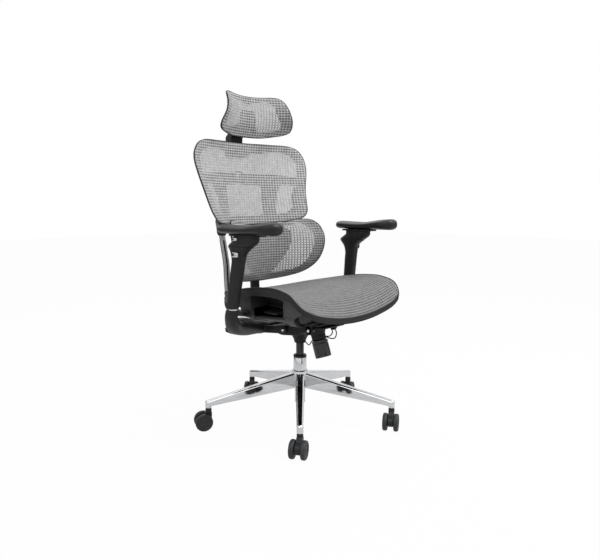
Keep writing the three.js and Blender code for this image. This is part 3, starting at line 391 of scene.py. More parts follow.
class Finish:
    # a material and its nodes
    def __init__(self, name):
        self.material = bpy.data.materials.new(name)
        self.material.use_nodes = True
        self.tree = self.material.node_tree
        self.tree.nodes.clear()
        self.output = self.node("ShaderNodeOutputMaterial")
        self.place = self.node("ShaderNodeTexCoord").outputs["Object"]

    def node(self, kind, settings=None, values=None):
        # any node: its type, its settings, then the values or links of its sockets
        node = self.tree.nodes.new(kind)
        for name, value in (settings or {}).items():
            setattr(node, name, value)
        for name, value in (values or {}).items():
            plug(node.inputs[name], value)
        return node

    def noise(self, scale, detail=3.0, roughness=0.5, vector=None):
        values = {"Vector": vector or self.place, "Scale": scale, "Detail": detail, "Roughness": roughness}
        return Socket(self.node("ShaderNodeTexNoise", {}, values).outputs["Fac"])

    def stretched(self, scale):
        # the object's own places, stretched differently along each axis
        return self.node("ShaderNodeMapping", {}, {"Vector": self.place, "Scale": scale}).outputs[0]

    def shade(self, share, first, second):
        node = self.node("ShaderNodeMix", {"data_type": "RGBA"}, {"Factor": share})
        plug(node.inputs[6], (*first, 1))
        plug(node.inputs[7], (*second, 1))
        return node.outputs[2]

    def bump(self, height, distance, strength=1.0):
        values = {"Height": height, "Distance": distance, "Strength": strength}
        return self.node("ShaderNodeBump", {}, values).outputs["Normal"]

    def shows(self, shader):
        plug(self.output.inputs["Surface"], shader.outputs[0])
        return self.material

    def surface(self, **values):
        names = {name.replace("_", " "): value for name, value in values.items()}
        return self.shows(self.node("ShaderNodeBsdfPrincipled", {}, names))


def addBoard(name, corners, material):
    # one flat face that isn't part of the chair
    mesh = bpy.data.meshes.new(name)
    mesh.from_pydata([tuple(corner) for corner in corners], [], [(0, 1, 2, 3)])
    mesh.materials.append(material)
    board = putInScene(name, mesh)
    return board


studio = dict(ambient=0.52, floorHalf=12, floorColour=0.66, floorGlow=0.97, floorGlowInMetal=0.55, aim=0.6,
              cardColour=(0.05, 0.05, 0.055))


def addStage():
    # a pale floor that keeps a faint shadow, and a white surround that lights the set by its ambient share
    floor = Finish("paleFloor")
    matt = floor.node("ShaderNodeBsdfDiffuse", {}, {"Color": (*[studio["floorColour"]] * 3, 1)})
    glow = floor.node("ShaderNodeEmission", {}, {"Color": (1, 1, 1, 1), "Strength": 1.0})
    path = floor.node("ShaderNodeLightPath").outputs
    seen = Socket(path["Is Camera Ray"]).math("MAXIMUM", path["Is Transmission Ray"]) * studio["floorGlow"]
    share = seen.math("MAXIMUM", Socket(path["Is Glossy Ray"]) * studio["floorGlowInMetal"])
    both = floor.node("ShaderNodeMixShader", {}, {0: share, 1: matt.outputs[0], 2: glow.outputs[0]})
    half = studio["floorHalf"]
    addBoard("floor", [(-half, -half, 0), (half, -half, 0), (half, half, 0), (-half, half, 0)],
             floor.shows(both))

    world = bpy.data.worlds.new("surround")
    world.use_nodes = True
    nodes = world.node_tree.nodes
    nodes.clear()
    path = nodes.new("ShaderNodeLightPath").outputs
    seen = Socket(path["Is Camera Ray"]).math("MAXIMUM", path["Is Glossy Ray"])
    seen = seen.math("MAXIMUM", path["Is Transmission Ray"])
    background = nodes.new("ShaderNodeBackground")
    plug(background.inputs["Color"], (1, 1, 1, 1))
    plug(background.inputs["Strength"], seen * (1 - studio["ambient"]) + studio["ambient"])
    plug(nodes.new("ShaderNodeOutputWorld").inputs["Surface"], background.outputs[0])
    bpy.context.scene.world = world


# each lamp: bearing and height in degrees from the seat, distance in metres, side of the square, watts
lamps = {
    "key": dict(bearing=38, rise=52, reach=3.0, side=1.4, power=72),
    "fill": dict(bearing=-60, rise=45, reach=3.2, side=1.8, power=26),
    "rim": dict(bearing=150, rise=50, reach=3.0, side=2.0, power=26),
}


def addLamps():
    aim = onBearing(0, 0, studio["aim"])
    for name, lamp in lamps.items():
        light = bpy.data.lights.new(name, "AREA")
        light.size = lamp["side"]
        light.energy = lamp["power"]
        holder = putInScene(name, light)
        rise = radians(lamp["rise"])
        place = onBearing(lamp["bearing"], lamp["reach"] * cos(rise),
                          studio["aim"] + lamp["reach"] * sin(rise))
        holder.location = place
        holder.rotation_euler = Vector(place - aim).to_track_quat("Z", "Y").to_euler()
        holder.visible_camera = False


# dark cards beside the set that only polished metal sees: bearing, distance, width, height, lift
cards = {
    "leftCard": dict(bearing=-150, reach=2.6, width=1.3, height=1.1, lift=0.0),
    "rightCard": dict(bearing=70, reach=2.4, width=1.1, height=1.3, lift=0.05),
    "rearCard": dict(bearing=175, reach=3.2, width=1.5, height=0.7, lift=0.3),
    "frontCard": dict(bearing=-12, reach=3.0, width=0.9, height=0.9, lift=0.1),
}


def addCards():
    grey = Finish("cardGrey")
    grey.shows(grey.node("ShaderNodeBsdfDiffuse", {}, {"Color": (*studio["cardColour"], 1)}))
    for name, card in cards.items():
        a = radians(card["bearing"])
        middle = onBearing(card["bearing"], card["reach"], card["lift"])
        side = np.array([cos(a), sin(a), 0]) * card["width"] / 2
        up = np.array([0, 0, card["height"]])
        board = addBoard(name, [middle - side, middle + side, middle + side + up, middle - side + up],
                         grey.material)
        for ray in ("camera", "diffuse", "transmission", "volume_scatter", "shadow"):
            setattr(board, "visible_" + ray, False)


addStage()
addLamps()
addCards()
bpy.context.scene.view_settings.view_transform = "Standard"
print("stage, camera and lights are set")


# darkest and lightest colour of each finish, and the scale of its grain where it varies
looks = dict(
    nylon=dict(colour=(0.0125, 0.0128, 0.0138), roughness=0.48, grain=0.00004),
    satin=dict(colour=(0.0135, 0.014, 0.0155), roughness=0.40, grain=0.00003),
    dull=dict(colour=(0.0085, 0.0088, 0.0096), roughness=0.55, grain=0.00005),
    pad=((0.0085, 0.0088, 0.0095), (0.0115, 0.0118, 0.013)),
    gloss=((0.009, 0.009, 0.010), (0.012, 0.012, 0.0135)),
    chrome=((0.57, 0.575, 0.585), (0.65, 0.655, 0.665)),
    aluminium=((0.42, 0.43, 0.44), (0.60, 0.61, 0.62)),
    tread=((0.022, 0.023, 0.025), (0.045, 0.045, 0.046)),
)


def scaled(colour, by):
    return tuple(part * by for part in colour)


def nylonFinish(name, colour, roughness, grain):
    # moulded plastic: a fine spark-eroded grain, and faint flow marks
    f = Finish(name)
    flow = f.noise(9, 3).step(0.3, 0.7)
    polish = f.noise(60, 4).step(0.25, 0.75) * 0.08 + (roughness - 0.04)
    return f.surface(Base_Color=f.shade(flow, scaled(colour, 0.86), scaled(colour, 1.16)), Roughness=polish,
                     Specular_IOR_Level=0.27, Normal=f.bump(f.noise(2600, 2), grain, 0.7))


def softPadFinish():
    # skinned polyurethane: a fine leather grain of cells, a little duller where it is touched
    f = Finish("softPad")
    cells = f.node("ShaderNodeTexVoronoi", {"feature": "DISTANCE_TO_EDGE"},
                   {"Vector": f.place, "Scale": 900.0})
    crease = Socket(cells.outputs["Distance"]).step(0.0, 0.25)
    broad = f.noise(14, 3)
    height = crease * 0.6 + f.noise(1500, 2) * 0.4
    return f.surface(Base_Color=f.shade(broad.step(0.3, 0.7), *looks["pad"]),
                     Roughness=broad.step(0.2, 0.8) * 0.10 + 0.36, Specular_IOR_Level=0.28,
                     Normal=f.bump(height, 0.00006, 0.55))


def glossFinish():
    # gloss plastic with faint sink ripples
    f = Finish("glossBlack")
    ripple = f.noise(35, 2)
    return f.surface(Base_Color=f.shade(ripple, *looks["gloss"]),
                     Roughness=f.noise(240, 3).step(0.4, 0.9) * 0.08 + 0.2, Specular_IOR_Level=0.4,
                     Coat_Weight=0.15, Coat_Roughness=0.1, Normal=f.bump(ripple, 0.0004, 0.25))


def chromeFinish():
    # plated metal: wiped smears in its polish, and a very slight orange peel
    f = Finish("chrome")
    wiped = f.noise(4, 5, 0.6, f.stretched((6, 6, 40)))
    return f.surface(Base_Color=f.shade(wiped.step(0.3, 0.7), *looks["chrome"]), Metallic=1.0,
                     Roughness=wiped.step(0.35, 0.8) * 0.05 + 0.05,
                     Normal=f.bump(f.noise(30, 2), 0.0001, 0.03))


def aluminiumFinish():
    # drawn aluminium: fine lines that run up the upright
    f = Finish("drawnAluminium")
    drawn = f.noise(1.0, 4, 0.6, f.stretched((900, 900, 4)))
    return f.surface(Base_Color=f.shade(drawn.step(0.2, 0.8), *looks["aluminium"]), Metallic=1.0,
                     Roughness=drawn * 0.16 + 0.24, Normal=f.bump(drawn, 0.00005, 0.4))


def treadFinish():
    # caster tyre: dull polyurethane with dust in its grain
    f = Finish("casterTread")
    dust = f.noise(120, 5, 0.7)
    return f.surface(Base_Color=f.shade(dust.step(0.45, 0.85), *looks["tread"]), Roughness=dust * 0.2 + 0.42,
                     Specular_IOR_Level=0.4, Normal=f.bump(f.noise(1800, 2), 0.00004, 0.6))


# the net: clusters of small holes between wider cords; sizes in metres of cloth. The same yarn is given a
# darker grey on the headrest, lumbar and seat than on the back: painted shade
net = dict(cordAcross=0.0114, cordUp=0.0094, wobble=0.0003, holes=3, cluster=0.57, holeShare=0.76, soft=0.03,
           darkest=0.5, lightest=1.35, back=0.42, headrest=0.35, lumbar=0.30, seat=0.21)


def weaveFinish(name, grey):
    # every cell of the net is a rounded hole, except along each wider cord
    f = Finish(name)
    onCloth = f.node("ShaderNodeUVMap", {"uv_map": "cloth"}).outputs[0]
    cloth = f.node("ShaderNodeSeparateXYZ", {}, {0: onCloth})
    wobble = f.noise(220, 2) * net["wobble"]
    cell = []
    cord = []
    for place, pitch in zip(cloth.outputs, (net["cordAcross"], net["cordUp"])):
        share = ((Socket(place) + wobble) / pitch).math("FRACT")
        cord.append(share.math("GREATER_THAN", net["cluster"]))
        cell.append(((share * (net["holes"] / net["cluster"])).math("FRACT") - 0.5).math("ABSOLUTE"))
    reach = net["holeShare"] / 2 + net["soft"]
    inside = (reach - cell[0]).math("MINIMUM", reach - cell[1]).step(0.0, 2 * net["soft"])
    anyCord = cord[0].math("MAXIMUM", cord[1])
    hole = inside * (1 - anyCord)
    # yarns stand highest where they cross: (2 cell across)^2 (2 cell up)^2
    crossing = (cell[0] * 2).math("POWER", 2) * (cell[1] * 2).math("POWER", 2)
    height = (1 - hole) * 0.5 + crossing * 0.3 + anyCord * 0.25
    yarn = f.noise(1400, 3) * 0.5 + f.noise(60, 2) * 0.5
    tone = (yarn.step(0.25, 0.75) * 0.45 + cord[1] * 0.38 + cord[0] * 0.2).step(0.0, 1.0)
    shade = f.shade(tone, scaled((grey,) * 3, net["darkest"]), scaled((grey,) * 3, net["lightest"]))
    return f.surface(Base_Color=shade, Alpha=1 - hole, Roughness=yarn * 0.2 + 0.62, Specular_IOR_Level=0.3,
                     Sheen_Weight=0.15, Sheen_Roughness=0.5, Normal=f.bump(height, 0.0005, 0.8))


blackNylon = nylonFinish("blackNylon", **looks["nylon"])
satinNylon = nylonFinish("satinNylon", **looks["satin"])
dullNylon = nylonFinish("dullNylon", **looks["dull"])
softPad = softPadFinish()
glossBlack = glossFinish()
chrome = chromeFinish()
drawnAluminium = aluminiumFinish()
casterTread = treadFinish()
netGrey = weaveFinish("netGrey", net["back"])
# the headrest, lumbar and seat nets are darker copies of the back's net: painted shade
headNetPaintedShade = weaveFinish("headNetPaintedShade", net["headrest"])
lumbarNetPaintedShade = weaveFinish("lumbarNetPaintedShade", net["lumbar"])
seatNetPaintedShade = weaveFinish("seatNetPaintedShade", net["seat"])
print("finishes are made")


def loopThrough(points, count):
    # a closed Catmull-Rom curve through the points, cut at even distances from the first
    p = np.asarray(points, float)
    dense = catmullRom(np.roll(p, 1, 0), p, np.roll(p, -1, 0), np.roll(p, -2, 0), 60)
    dense = np.vstack([dense, dense[:1]])
    places = np.concatenate([[0], np.cumsum(np.linalg.norm(np.diff(dense, axis=0), axis=1))])
    even = np.linspace(0, places[-1], count, endpoint=False)
    return np.column_stack([np.interp(even, places, dense[:, 0]), np.interp(even, places, dense[:, 1])])


def outline(half, halfWidth, low, high, count):
    # the right half's points are shares of half the width and of the height; the left half mirrors them
    half = np.asarray(half, float)
    right = np.column_stack([half[:, 0] * halfWidth, low + half[:, 1] * (high - low)])
    return loopThrough(np.vstack([right, right[1:-1][::-1] * [-1, 1]]), count)


def valueAt(width, points):
    # a width or depth may be a number, or a function of the place
    return width(points[:, 0], points[:, 1]) if callable(width) else np.full(len(points), float(width))


def inset(points, middle, width):
    # draws an outline in towards the panel's middle
    away = points - [0, middle]
    length = np.linalg.norm(away, axis=1, keepdims=True)
    return points - away / length * valueAt(width, points)[:, None]


def bowedLength(x, steepness):
    # how far along the curve y = k x^2 the point x lies: (x sqrt(1 + b^2) + asinh(b) / 2k) / 2, with b = 2kx
    b = 2 * np.maximum(steepness, 1e-6) * x
    return (x * np.sqrt(1 + b * b) + np.arcsinh(b) / (2 * np.maximum(steepness, 1e-6))) / 2


def flatSize(u, v):
    # the cut piece's width, length and area, from its edge laid out flat
    area = 0.5 * abs(np.sum(u * np.roll(v, -1) - v * np.roll(u, -1)))
    return (float(np.ptp(u)) * millimetre, float(np.ptp(v)) * millimetre), float(area) * millimetre**2


# how deep each panel's cloth and its frame's front lip, land and back lie, and how far in the cloth starts
framing = dict(cloth=1.1, clothInset=2.7, clothThickness=0.6, lip=2.4, land=1.9, back=11.4)


class Panel:
    # a bowed panel: y = line(share) - wrap(share) (x / span)^2 + roll(x, share) + depth; share runs up it
    def __init__(self, size, count):
        self.size = size
        self.middle = (size["low"] + size["high"]) / 2
        self.line, self.wrap = through(size["line"]), through(size["wrap"])
        self.edge = outline(size["half"], size["halfWidth"], size["low"], size["high"], count)

    def share(self, z):
        # 0 at the panel's lower edge, 1 at its upper edge
        return (z - self.size["low"]) / (self.size["high"] - self.size["low"])

    def roll(self, x, share):
        # how far the border rolls back; none here
        return 0

    def place(self, x, z, depth):
        share = self.share(z)
        y = self.line(share) - self.wrap(share) * (x / self.size["span"])**2 + self.roll(x, share) + depth
        return np.stack([x, y, z], axis=-1)

    def ringAround(self, points, section, rounding=1.0, isLoop=True, middle=None):
        # carries a closed [inset, depth] section round an outline
        rows = []
        for width, depth in section:
            drawn = inset(points, self.middle if middle is None else middle, width)
            rows.append(self.place(drawn[:, 0], drawn[:, 1], valueAt(depth, points)))
        return skin(soften(np.stack(rows, axis=1), rounding), isLoop=isLoop)

    def frame(self, border):
        # a thin lip round the cloth's edge, a flat land behind the cloth and a rounded back
        deep, lip = framing["back"], framing["lip"] + 0.5
        def along(share, off=0.0):
            # a width that is a share of the border's, and a step more
            return lambda x, z: lip + (valueAt(border, np.column_stack([x, z])) - lip) * share + off
        land = [[along(share), framing["land"]] for share in (0.12, 0.25, 0.38, 0.5, 0.62, 0.75, 0.88)]
        back = [[along(share), deep] for share in (0.75, 0.5, 0.25)]
        return self.ringAround(self.edge, [
            [0, 1.2], [0.9, 0.2], [framing["lip"], 0.2], [lip, framing["land"]], *land,
            [along(1), framing["land"] + 0.2], [along(1, 0.4), 5.5], [along(1, -2), deep - 1.2], *back,
            [3.5, deep - 0.6], [0.4, deep - 4]], 0.9)

    def plate(self, points, middle, front, back, rounding):
        # a closed plate between two depths of the surface, with a rounded edge
        edge = np.linspace(0, pi / 2, 4)
        shrink = rounding / np.linalg.norm(points - [0, middle], axis=1).mean()
        shares = np.linspace(0, 1, 10)[1:-1]
        reach = np.concatenate([shares * (1 - shrink), 1 - shrink * (1 - np.sin(edge))])
        bend = np.concatenate([np.zeros(len(shares)), rounding * (1 - np.cos(edge))])
        rings = [self.place(points[:, 0] * share, middle + (points[:, 1] - middle) * share,
                            np.full(len(points), deep))
                 for share, deep in [*zip(reach, front + bend), *zip(reach[::-1], back - bend[::-1])]]
        return skin(np.array(rings))

    def strip(self, stations, count=70):
        # a flat bar along the panel's back: each station is [x, z, half width, nearest depth, deepest]
        rows = drawnThrough([[x, z, 0, half, near, deep] for x, z, half, near, deep in stations], count)
        path = unit(np.gradient(rows[:, :2], axis=0))
        across, thick = oval(36, 4.5)
        reach = across[None, :] * rows[:, 3:4]
        depth = (rows[:, 4:5] + rows[:, 5:6]) / 2 + thick[None, :] * (rows[:, 5:6] - rows[:, 4:5]) / 2
        x, z = rows[:, :1] - path[:, 1:] * reach, rows[:, 1:2] + path[:, :1] * reach
        return skin(roundEnds(self.place(x, z, depth), 1.5))

    def middleLine(self, share):
        # the surface where x is 0
        return self.line(share)

    def steepness(self, share):
        # the k of a row's curve, k x^2
        return self.wrap(share) / self.size["span"]**2

    def layout(self, steps):
        # where a point of the cloth lies when it is flat: u along its bowed row, v along the middle line,
        # whose length is the sum of the hypotenuses of its steps
        heights = np.linspace(self.size["low"], self.size["high"], steps)
        rises = np.hypot(np.diff(heights), np.diff(self.middleLine(self.share(heights))))
        run = np.concatenate([[0], np.cumsum(rises)])
        return lambda p, q: (bowedLength(p, self.steepness(self.share(q))), np.interp(q, heights, run))

    def addCloth(self, name, body, ring, node, finish, start=framing["clothInset"], rows=30, steps=200):
        # rings drawn in from the frame's lip to a middle point, and a map in metres along the cloth itself
        outer = inset(self.edge, self.middle, start)
        shares = np.linspace(1, 0, rows, endpoint=False)[:, None]
        p = np.append((outer[:, 0] * shares).ravel(), 0.0)
        q = np.append((self.middle + (outer[:, 1] - self.middle) * shares).ravel(), self.middle)
        points = self.place(p, q, np.full(len(p), framing["cloth"]))
        count = len(outer)
        i = np.arange(rows - 1)[:, None] * count
        j = np.arange(count)
        k = (j + 1) % count
        quads = np.stack([i + j, i + count + j, i + count + k, i + k], axis=-1).reshape(-1, 4)
        fan = np.stack([(rows - 1) * count + j, np.full(count, len(p) - 1), (rows - 1) * count + k], axis=1)
        mesh = bpy.data.meshes.new(name)
        mesh.from_pydata(inFrame(points).tolist(), [], quads.tolist() + fan.tolist())
        layout = self.layout(steps)
        corner = np.empty(len(mesh.loops), dtype=np.int32)
        mesh.loops.foreach_get("vertex_index", corner)
        layer = mesh.uv_layers.new(name="cloth")
        layer.data.foreach_set("uv", (np.column_stack(layout(p, q))[corner] * millimetre).ravel())
        mesh.polygons.foreach_set("use_smooth", [True] * len(mesh.polygons))
        normals = np.empty(len(mesh.polygons) * 3)
        mesh.polygons.foreach_get("normal", normals)
        if normals.reshape(-1, 3).mean(axis=0) @ [0, -1, 1] < 0:
            mesh.flip_normals()
        mesh.update()
        piece = declare(putInScene(name, mesh), body, finish, [node])
        wall = piece.modifiers.new("thickness", "SOLIDIFY")
        wall.thickness = framing["clothThickness"] * millimetre
        wall.offset = 0
        flat, area = flatSize(*layout(outer[:, 0], outer[:, 1]))


# upper back: its outline, the line up its middle and how far its sides wrap forward; legs, band and bridge
# are strips of [x, z, half width, nearest depth, deepest]
back = dict(halfWidth=260, low=688, high=994, border=34, topBorder=42, cornerBorder=12, span=235,
            half=[[0, 0], [0.45, 0.02], [0.66, 0.044], [0.8, 0.08], [0.88, 0.155], [0.918, 0.28],
                  [0.942, 0.4], [0.97, 0.5], [1.008, 0.62], [1.03, 0.74], [1.012, 0.84], [0.93, 0.94],
                  [0.8, 0.99], [0.45, 1.003], [0, 1]],
            line=[[0, 284], [0.2, 292], [0.5, 300], [0.8, 302], [1, 296]],
            wrap=[[0, 128], [0.07, 122], [0.2, 104], [0.5, 71], [0.65, 60], [0.8, 50], [1, 44]],
            leg=[[106, 706, 24, 3, 16], [108, 740, 26, 3, 16], [113, 780, 27, 4, 17], [117, 812, 31, 5, 18],
                 [120, 838, 42, 7, 19], [121, 856, 50, 8, 19]],
            band=[[7, 866, 19, 27, 41], [20, 864, 22, 25, 39], [60, 862, 22, 16, 29], [116, 861, 22, 7, 19],
                  [160, 860, 20, 4, 15], [200, 858, 18, 4, 12], [236, 856, 18, 4, 11]],
            bridge=[[-16, 886, 5, 26, 40], [0, 887, 5, 27, 41], [16, 886, 5, 26, 40]],
            socket=[[301, 990], [305, 957], [334, 940.5], [370.5, 940.5], [372.5, 991], [356, 998],
                    [330, 998.5]],
            tab=[[307, 972], [312, 964], [330, 960], [330, 996], [309, 990]], socketHalf=33.5, tabHalf=46,
            foot=(93.5, 116.5, 272, 298, 693, 722))
backPanel = Panel(back, 300)


def backBorder(x, z):
    # wider along the top, and at both lower corners
    crown = smoothStep(z, back["high"] - 60, back["high"] - 10)
    corner = smoothStep(np.abs(x), 120, 200) * smoothStep(z, 860, 780)
    return back["border"] + (back["topBorder"] - back["border"]) * crown + back["cornerBorder"] * corner


def addBack():
    inner, outer, *foot = back["foot"]
    solids = []
    for side in (-1, 1):
        solids += [backPanel.strip(mirrored(side, back[part])) for part in ("leg", "band")]
        solids.append(block(side * inner, side * outer, *foot, 2.0))
    solids += [carried(back["socket"], -back["socketHalf"], back["socketHalf"], 3.0, 4.0),
               carried(back["tab"], -back["tabHalf"], back["tabHalf"], 4.0, 4.0),
               backPanel.strip(back["bridge"], 20)]
    addPiece("back_ring", [backPanel.frame(backBorder), cast(solids, 2.0, 5)], "back", blackNylon,
             ["back_frame"])
    backPanel.addCloth("back_cloth", "back", "back_ring", "back_mesh", netGrey)
    print("back is made")


addBack()


# lumbar pad: a ring, a shield-shaped plate behind its cloth and two ears for its pivot; the border rolls
# back from rollStart of the outline, less in front of the post
lumbar = dict(halfWidth=222, low=484, high=722, border=34, span=220, roll=24, rollStart=0.74, rollEnd=1.1,
              rollPower=1.4, squareness=2.6, postShare=0.75, postWidth=44,
              half=[[0, -0.01], [0.34, 0.0], [0.55, 0.035], [0.71, 0.085], [0.81, 0.15], [0.9, 0.26],
                    [0.96, 0.39], [1, 0.53], [1.015, 0.66], [1.003, 0.78], [0.96, 0.88], [0.87, 0.95],
                    [0.7, 0.95], [0.4, 0.895], [0, 0.874]],
              line=[[0, 204], [0.3, 194], [0.6, 194], [1, 208]], wrap=[[0, 122], [1, 122]],
              shield=[[0, 0], [0.3, 0.02], [0.75, 0.35], [1, 0.72], [0.98, 0.95], [0.6, 1], [0, 1]],
              shieldHalf=120, shieldLow=500, shieldHigh=678, ribHeights=(520, 560, 620, 664),
              pivot=(232, 596), ear=34, earFront=198)


class LumbarPanel(Panel):
    def roll(self, x, share):
        # most smoothStep(r)^1.4, r^2.6 = |x / half width|^2.6 + |2 share - 1|^2.6; below the middle it is
        # multiplied by 1 - postShare e^(-(x / postWidth)^2)
        s, power = self.size, self.size["squareness"]
        r = (np.abs(x / s["halfWidth"])**power + np.abs(2 * share - 1)**power)**(1 / power)
        spared = s["postShare"] * np.exp(-(x / s["postWidth"])**2) * (share < 0.5)
        return s["roll"] * smoothStep(r, s["rollStart"], s["rollEnd"])**s["rollPower"] * (1 - spared)


lumbarPanel = LumbarPanel(lumbar, 280)


def addLumbar():
    deep = framing["back"]
    y, z = lumbar["pivot"]
    middle = (lumbar["shieldLow"] + lumbar["shieldHigh"]) / 2
    shield = outline(lumbar["shield"], lumbar["shieldHalf"], lumbar["shieldLow"], lumbar["shieldHigh"], 160)
    shapes = [lumbarPanel.frame(lumbar["border"]),
              lumbarPanel.plate(shield, middle, deep - 3, deep + 1, 1.2)]
    # a raised rim and two ribs on the plate's back
    rim = [[0, deep], [0, deep + 3], [3, deep + 3], [3, deep]]
    shapes.append(lumbarPanel.ringAround(inset(shield, middle, 3), rim, 0.8, middle=middle))
    for side in (-1, 1):
        x = side * lumbar["ear"]
        shapes += [block(x - 4, x + 4, lumbar["earFront"], y, z - 9, z + 9, 1.2), crossPin(9, 8, y, z, x)]
        ribs = [[*lumbarPanel.place(np.array(x), np.array(h), deep), 2, 3] for h in lumbar["ribHeights"]]
        shapes.append(bar(ribs, 30, 16, 3, rounding=1))
    addPiece("lumbar_ring", shapes, "lumbar_pad", blackNylon, ["lumbar_frame"])
    lumbarPanel.addCloth("lumbar_cloth", "lumbar_pad", "lumbar_ring", "lumbar_mesh", lumbarNetPaintedShade)
    print("lumbar pad is made")


addLumbar()


# headrest: it narrows above its wings; its post is a stem in the back's socket, a capped head and the hinge
head = dict(halfWidth=172, low=1013, high=1165, border=28, sideBorder=38, topBorder=27, span=170,
            half=[[0, 0], [0.41, 0.01], [0.7, 0.06], [0.87, 0.105], [0.955, 0.165], [0.97, 0.27],
                  [0.935, 0.41], [0.88, 0.57], [0.835, 0.74], [0.79, 0.9], [0.725, 0.98], [0.61, 1.005],
                  [0.4, 0.99], [0, 0.975]],
            line=[[0, 284], [0.3, 268], [0.6, 268], [1, 276]],
            wrap=[[0, 56], [0.28, 64], [0.55, 90], [0.8, 92], [1, 74]],
            support=[[0, 0], [0.9, 0], [1, 0.1], [0.86, 0.55], [0.7, 0.92], [0.55, 1], [0, 1]],
            supportHalf=44, supportFoot=12, supportShare=0.66, pivot=(326, 1046), barrel=12, barrelHalf=28,
            ear=8, earFront=276, stem=(-22, 22, 345, 361, 944, 1004),
            cap=[[338, 999.3], [375, 999.3], [375, 1020], [331, 1056], [318, 1038], [338, 1016]], capHalf=28)
headPanel = Panel(head, 280)


def headBorder(x, z):
    # wide at the two wings, narrow along the top
    wings = smoothStep(np.abs(x), 0.45 * head["halfWidth"], 0.8 * head["halfWidth"])
    crown = smoothStep(z, headPanel.middle, head["high"] - 10) * (1 - wings)
    return (head["border"] + (head["sideBorder"] - head["border"]) * wings
            - (head["border"] - head["topBorder"]) * crown)


def addHeadrest():
    deep = framing["back"]
    y, z = head["pivot"]
    low = head["low"] + head["supportFoot"]
    high = head["low"] + head["supportShare"] * (head["high"] - head["low"])
    support = outline(head["support"], head["supportHalf"], low, high, 120)
    solids = [headPanel.plate(support, (low + high) / 2, deep - 4, deep + 2, 1.5)]
    front = head["earFront"]
    for side in (-1, 1):
        x = side * (head["barrelHalf"] + 0.8 + head["ear"] / 2)
        ear = [[front, z - 15], [front + 20, z - 12], [y, z - 10.5], [y + 6, z], [y, z + 10.5],
               [front + 20, z + 14], [front, z + 20]]
        solids.append(carried(ear, x - head["ear"] / 2, x + head["ear"] / 2, 1.2, 2.0))
        solids.append(crossPin(10.8, head["ear"], y, z, x, 1.2))
    addPiece("headrest_ring", [headPanel.frame(headBorder), cast(solids, 1.6, 3)], "headrest", blackNylon,
             ["headrest_frame"])
    headPanel.addCloth("headrest_cloth", "headrest", "headrest_ring", "headrest_mesh", headNetPaintedShade)

    post = [block(*head["stem"], 2.0), carried(head["cap"], -head["capHalf"], head["capHalf"], 2.2, 3.0),
            crossPin(head["barrel"], 2 * head["barrelHalf"], y, z, 0, 1.2)]
    addPiece("headrest_stem", [cast(post, 1.6, 4), crossPin(5, 73.6, y, z, 0, 0.6)], "head_post", satinNylon,
             ["headrest_post"])
    print("headrest is made")


addHeadrest()


# seat: a dished surface, high at the sides, that falls away at the front edge; low and high are its front
# and rear, bowl is [inset, share of the way down to the slide plate], sweep is [x, z, front, rear]
seat = dict(halfWidth=258, low=-262, high=190, rimWidth=32, lipSide=12, lipFront=3.5, dropSide=30,
            dropFront=21, plate=383.3, plateHalf=106, plateFront=-152, plateRear=116, plateThickness=7,
            lip=(72.8, 78.8, -142, 106, 369), skirtBottom=430, skirtFront=-29,
            half=[[0, 0], [0.45, 0], [0.8, 0.004], [0.93, 0.022], [0.985, 0.06], [1, 0.13], [1, 0.3],
                  [0.975, 0.5], [0.94, 0.65], [0.9, 0.83], [0.76, 0.965], [0.45, 0.998], [0, 1]],
            line=[[0, 458], [0.03, 470], [0.09, 495], [0.2, 511], [0.38, 513], [0.56, 504], [0.8, 484],
                  [1, 468]],
            wrap=[[0, 52], [0.1, 42], [0.3, 28], [0.6, 18], [1, 9]], span=258,
            bowl=[[24, 0], [60, 0.17], [96, 0.45], [125, 0.74], [150, 0.92]], ribs=(-124, -76, -28, 20, 68),
            sweep=[[240, 478, -206, -172], [222, 455, -222, -151], [205, 437, -212, -134],
                   [188, 420, -176, -116], [170, 401, -142, -99], [145, 384, -128, -88],
                   [118, 370, -116, -78], [98, 366, -112, -70]])
# the finger recess in each side of the seat frame, and the paddle in it
tub = dict(wall=150, floor=404, thickness=4, top=450, front=-104, rear=-21, frontWidth=30, rearWidth=78,
           plateLow=370, wallTop=474, housingRear=42, mount=(-106, -22, 430.3, 470))
paddle = dict(x=166, y=-70, z=424, half=28, ridges=7,
              profile=[[-6, 6], [8, 6], [22, 4.9], [36, 3], [44, -1], [42, -4.2], [38, -5],
                       [0, -5], [-6, 0]])


class SeatPanel(Panel):
    # z = line(share) - wrap(share) (1 - (x / span)^2) - depth: a crest along each side, a dish between
    def place(self, x, y, depth):
        share = self.share(y)
        dish = self.wrap(share) * (1 - np.minimum((x / self.size["span"])**2, 1))
        return np.stack([x, y, self.line(share) - dish - depth], axis=-1)

    def middleLine(self, share):
        return self.line(share) - self.wrap(share)


seatPanel = SeatPanel(seat, 320)


def fromFront(front, side):
    # one value along the front edge that becomes another along the sides
    return lambda x, y: front + (side - front) * smoothStep(y, seat["low"] + 8, seat["low"] + 90)


# the lip beside the cloth is narrow along the front, and the rim's wall is lower there
rimLip = fromFront(seat["lipFront"], seat["lipSide"])
rimDrop = fromFront(seat["dropFront"], seat["dropSide"])


def of(value, share=1.0, off=0.0):
    # a share of a width or depth that varies, and a step more
    return lambda x, y: value(x, y) * share + off


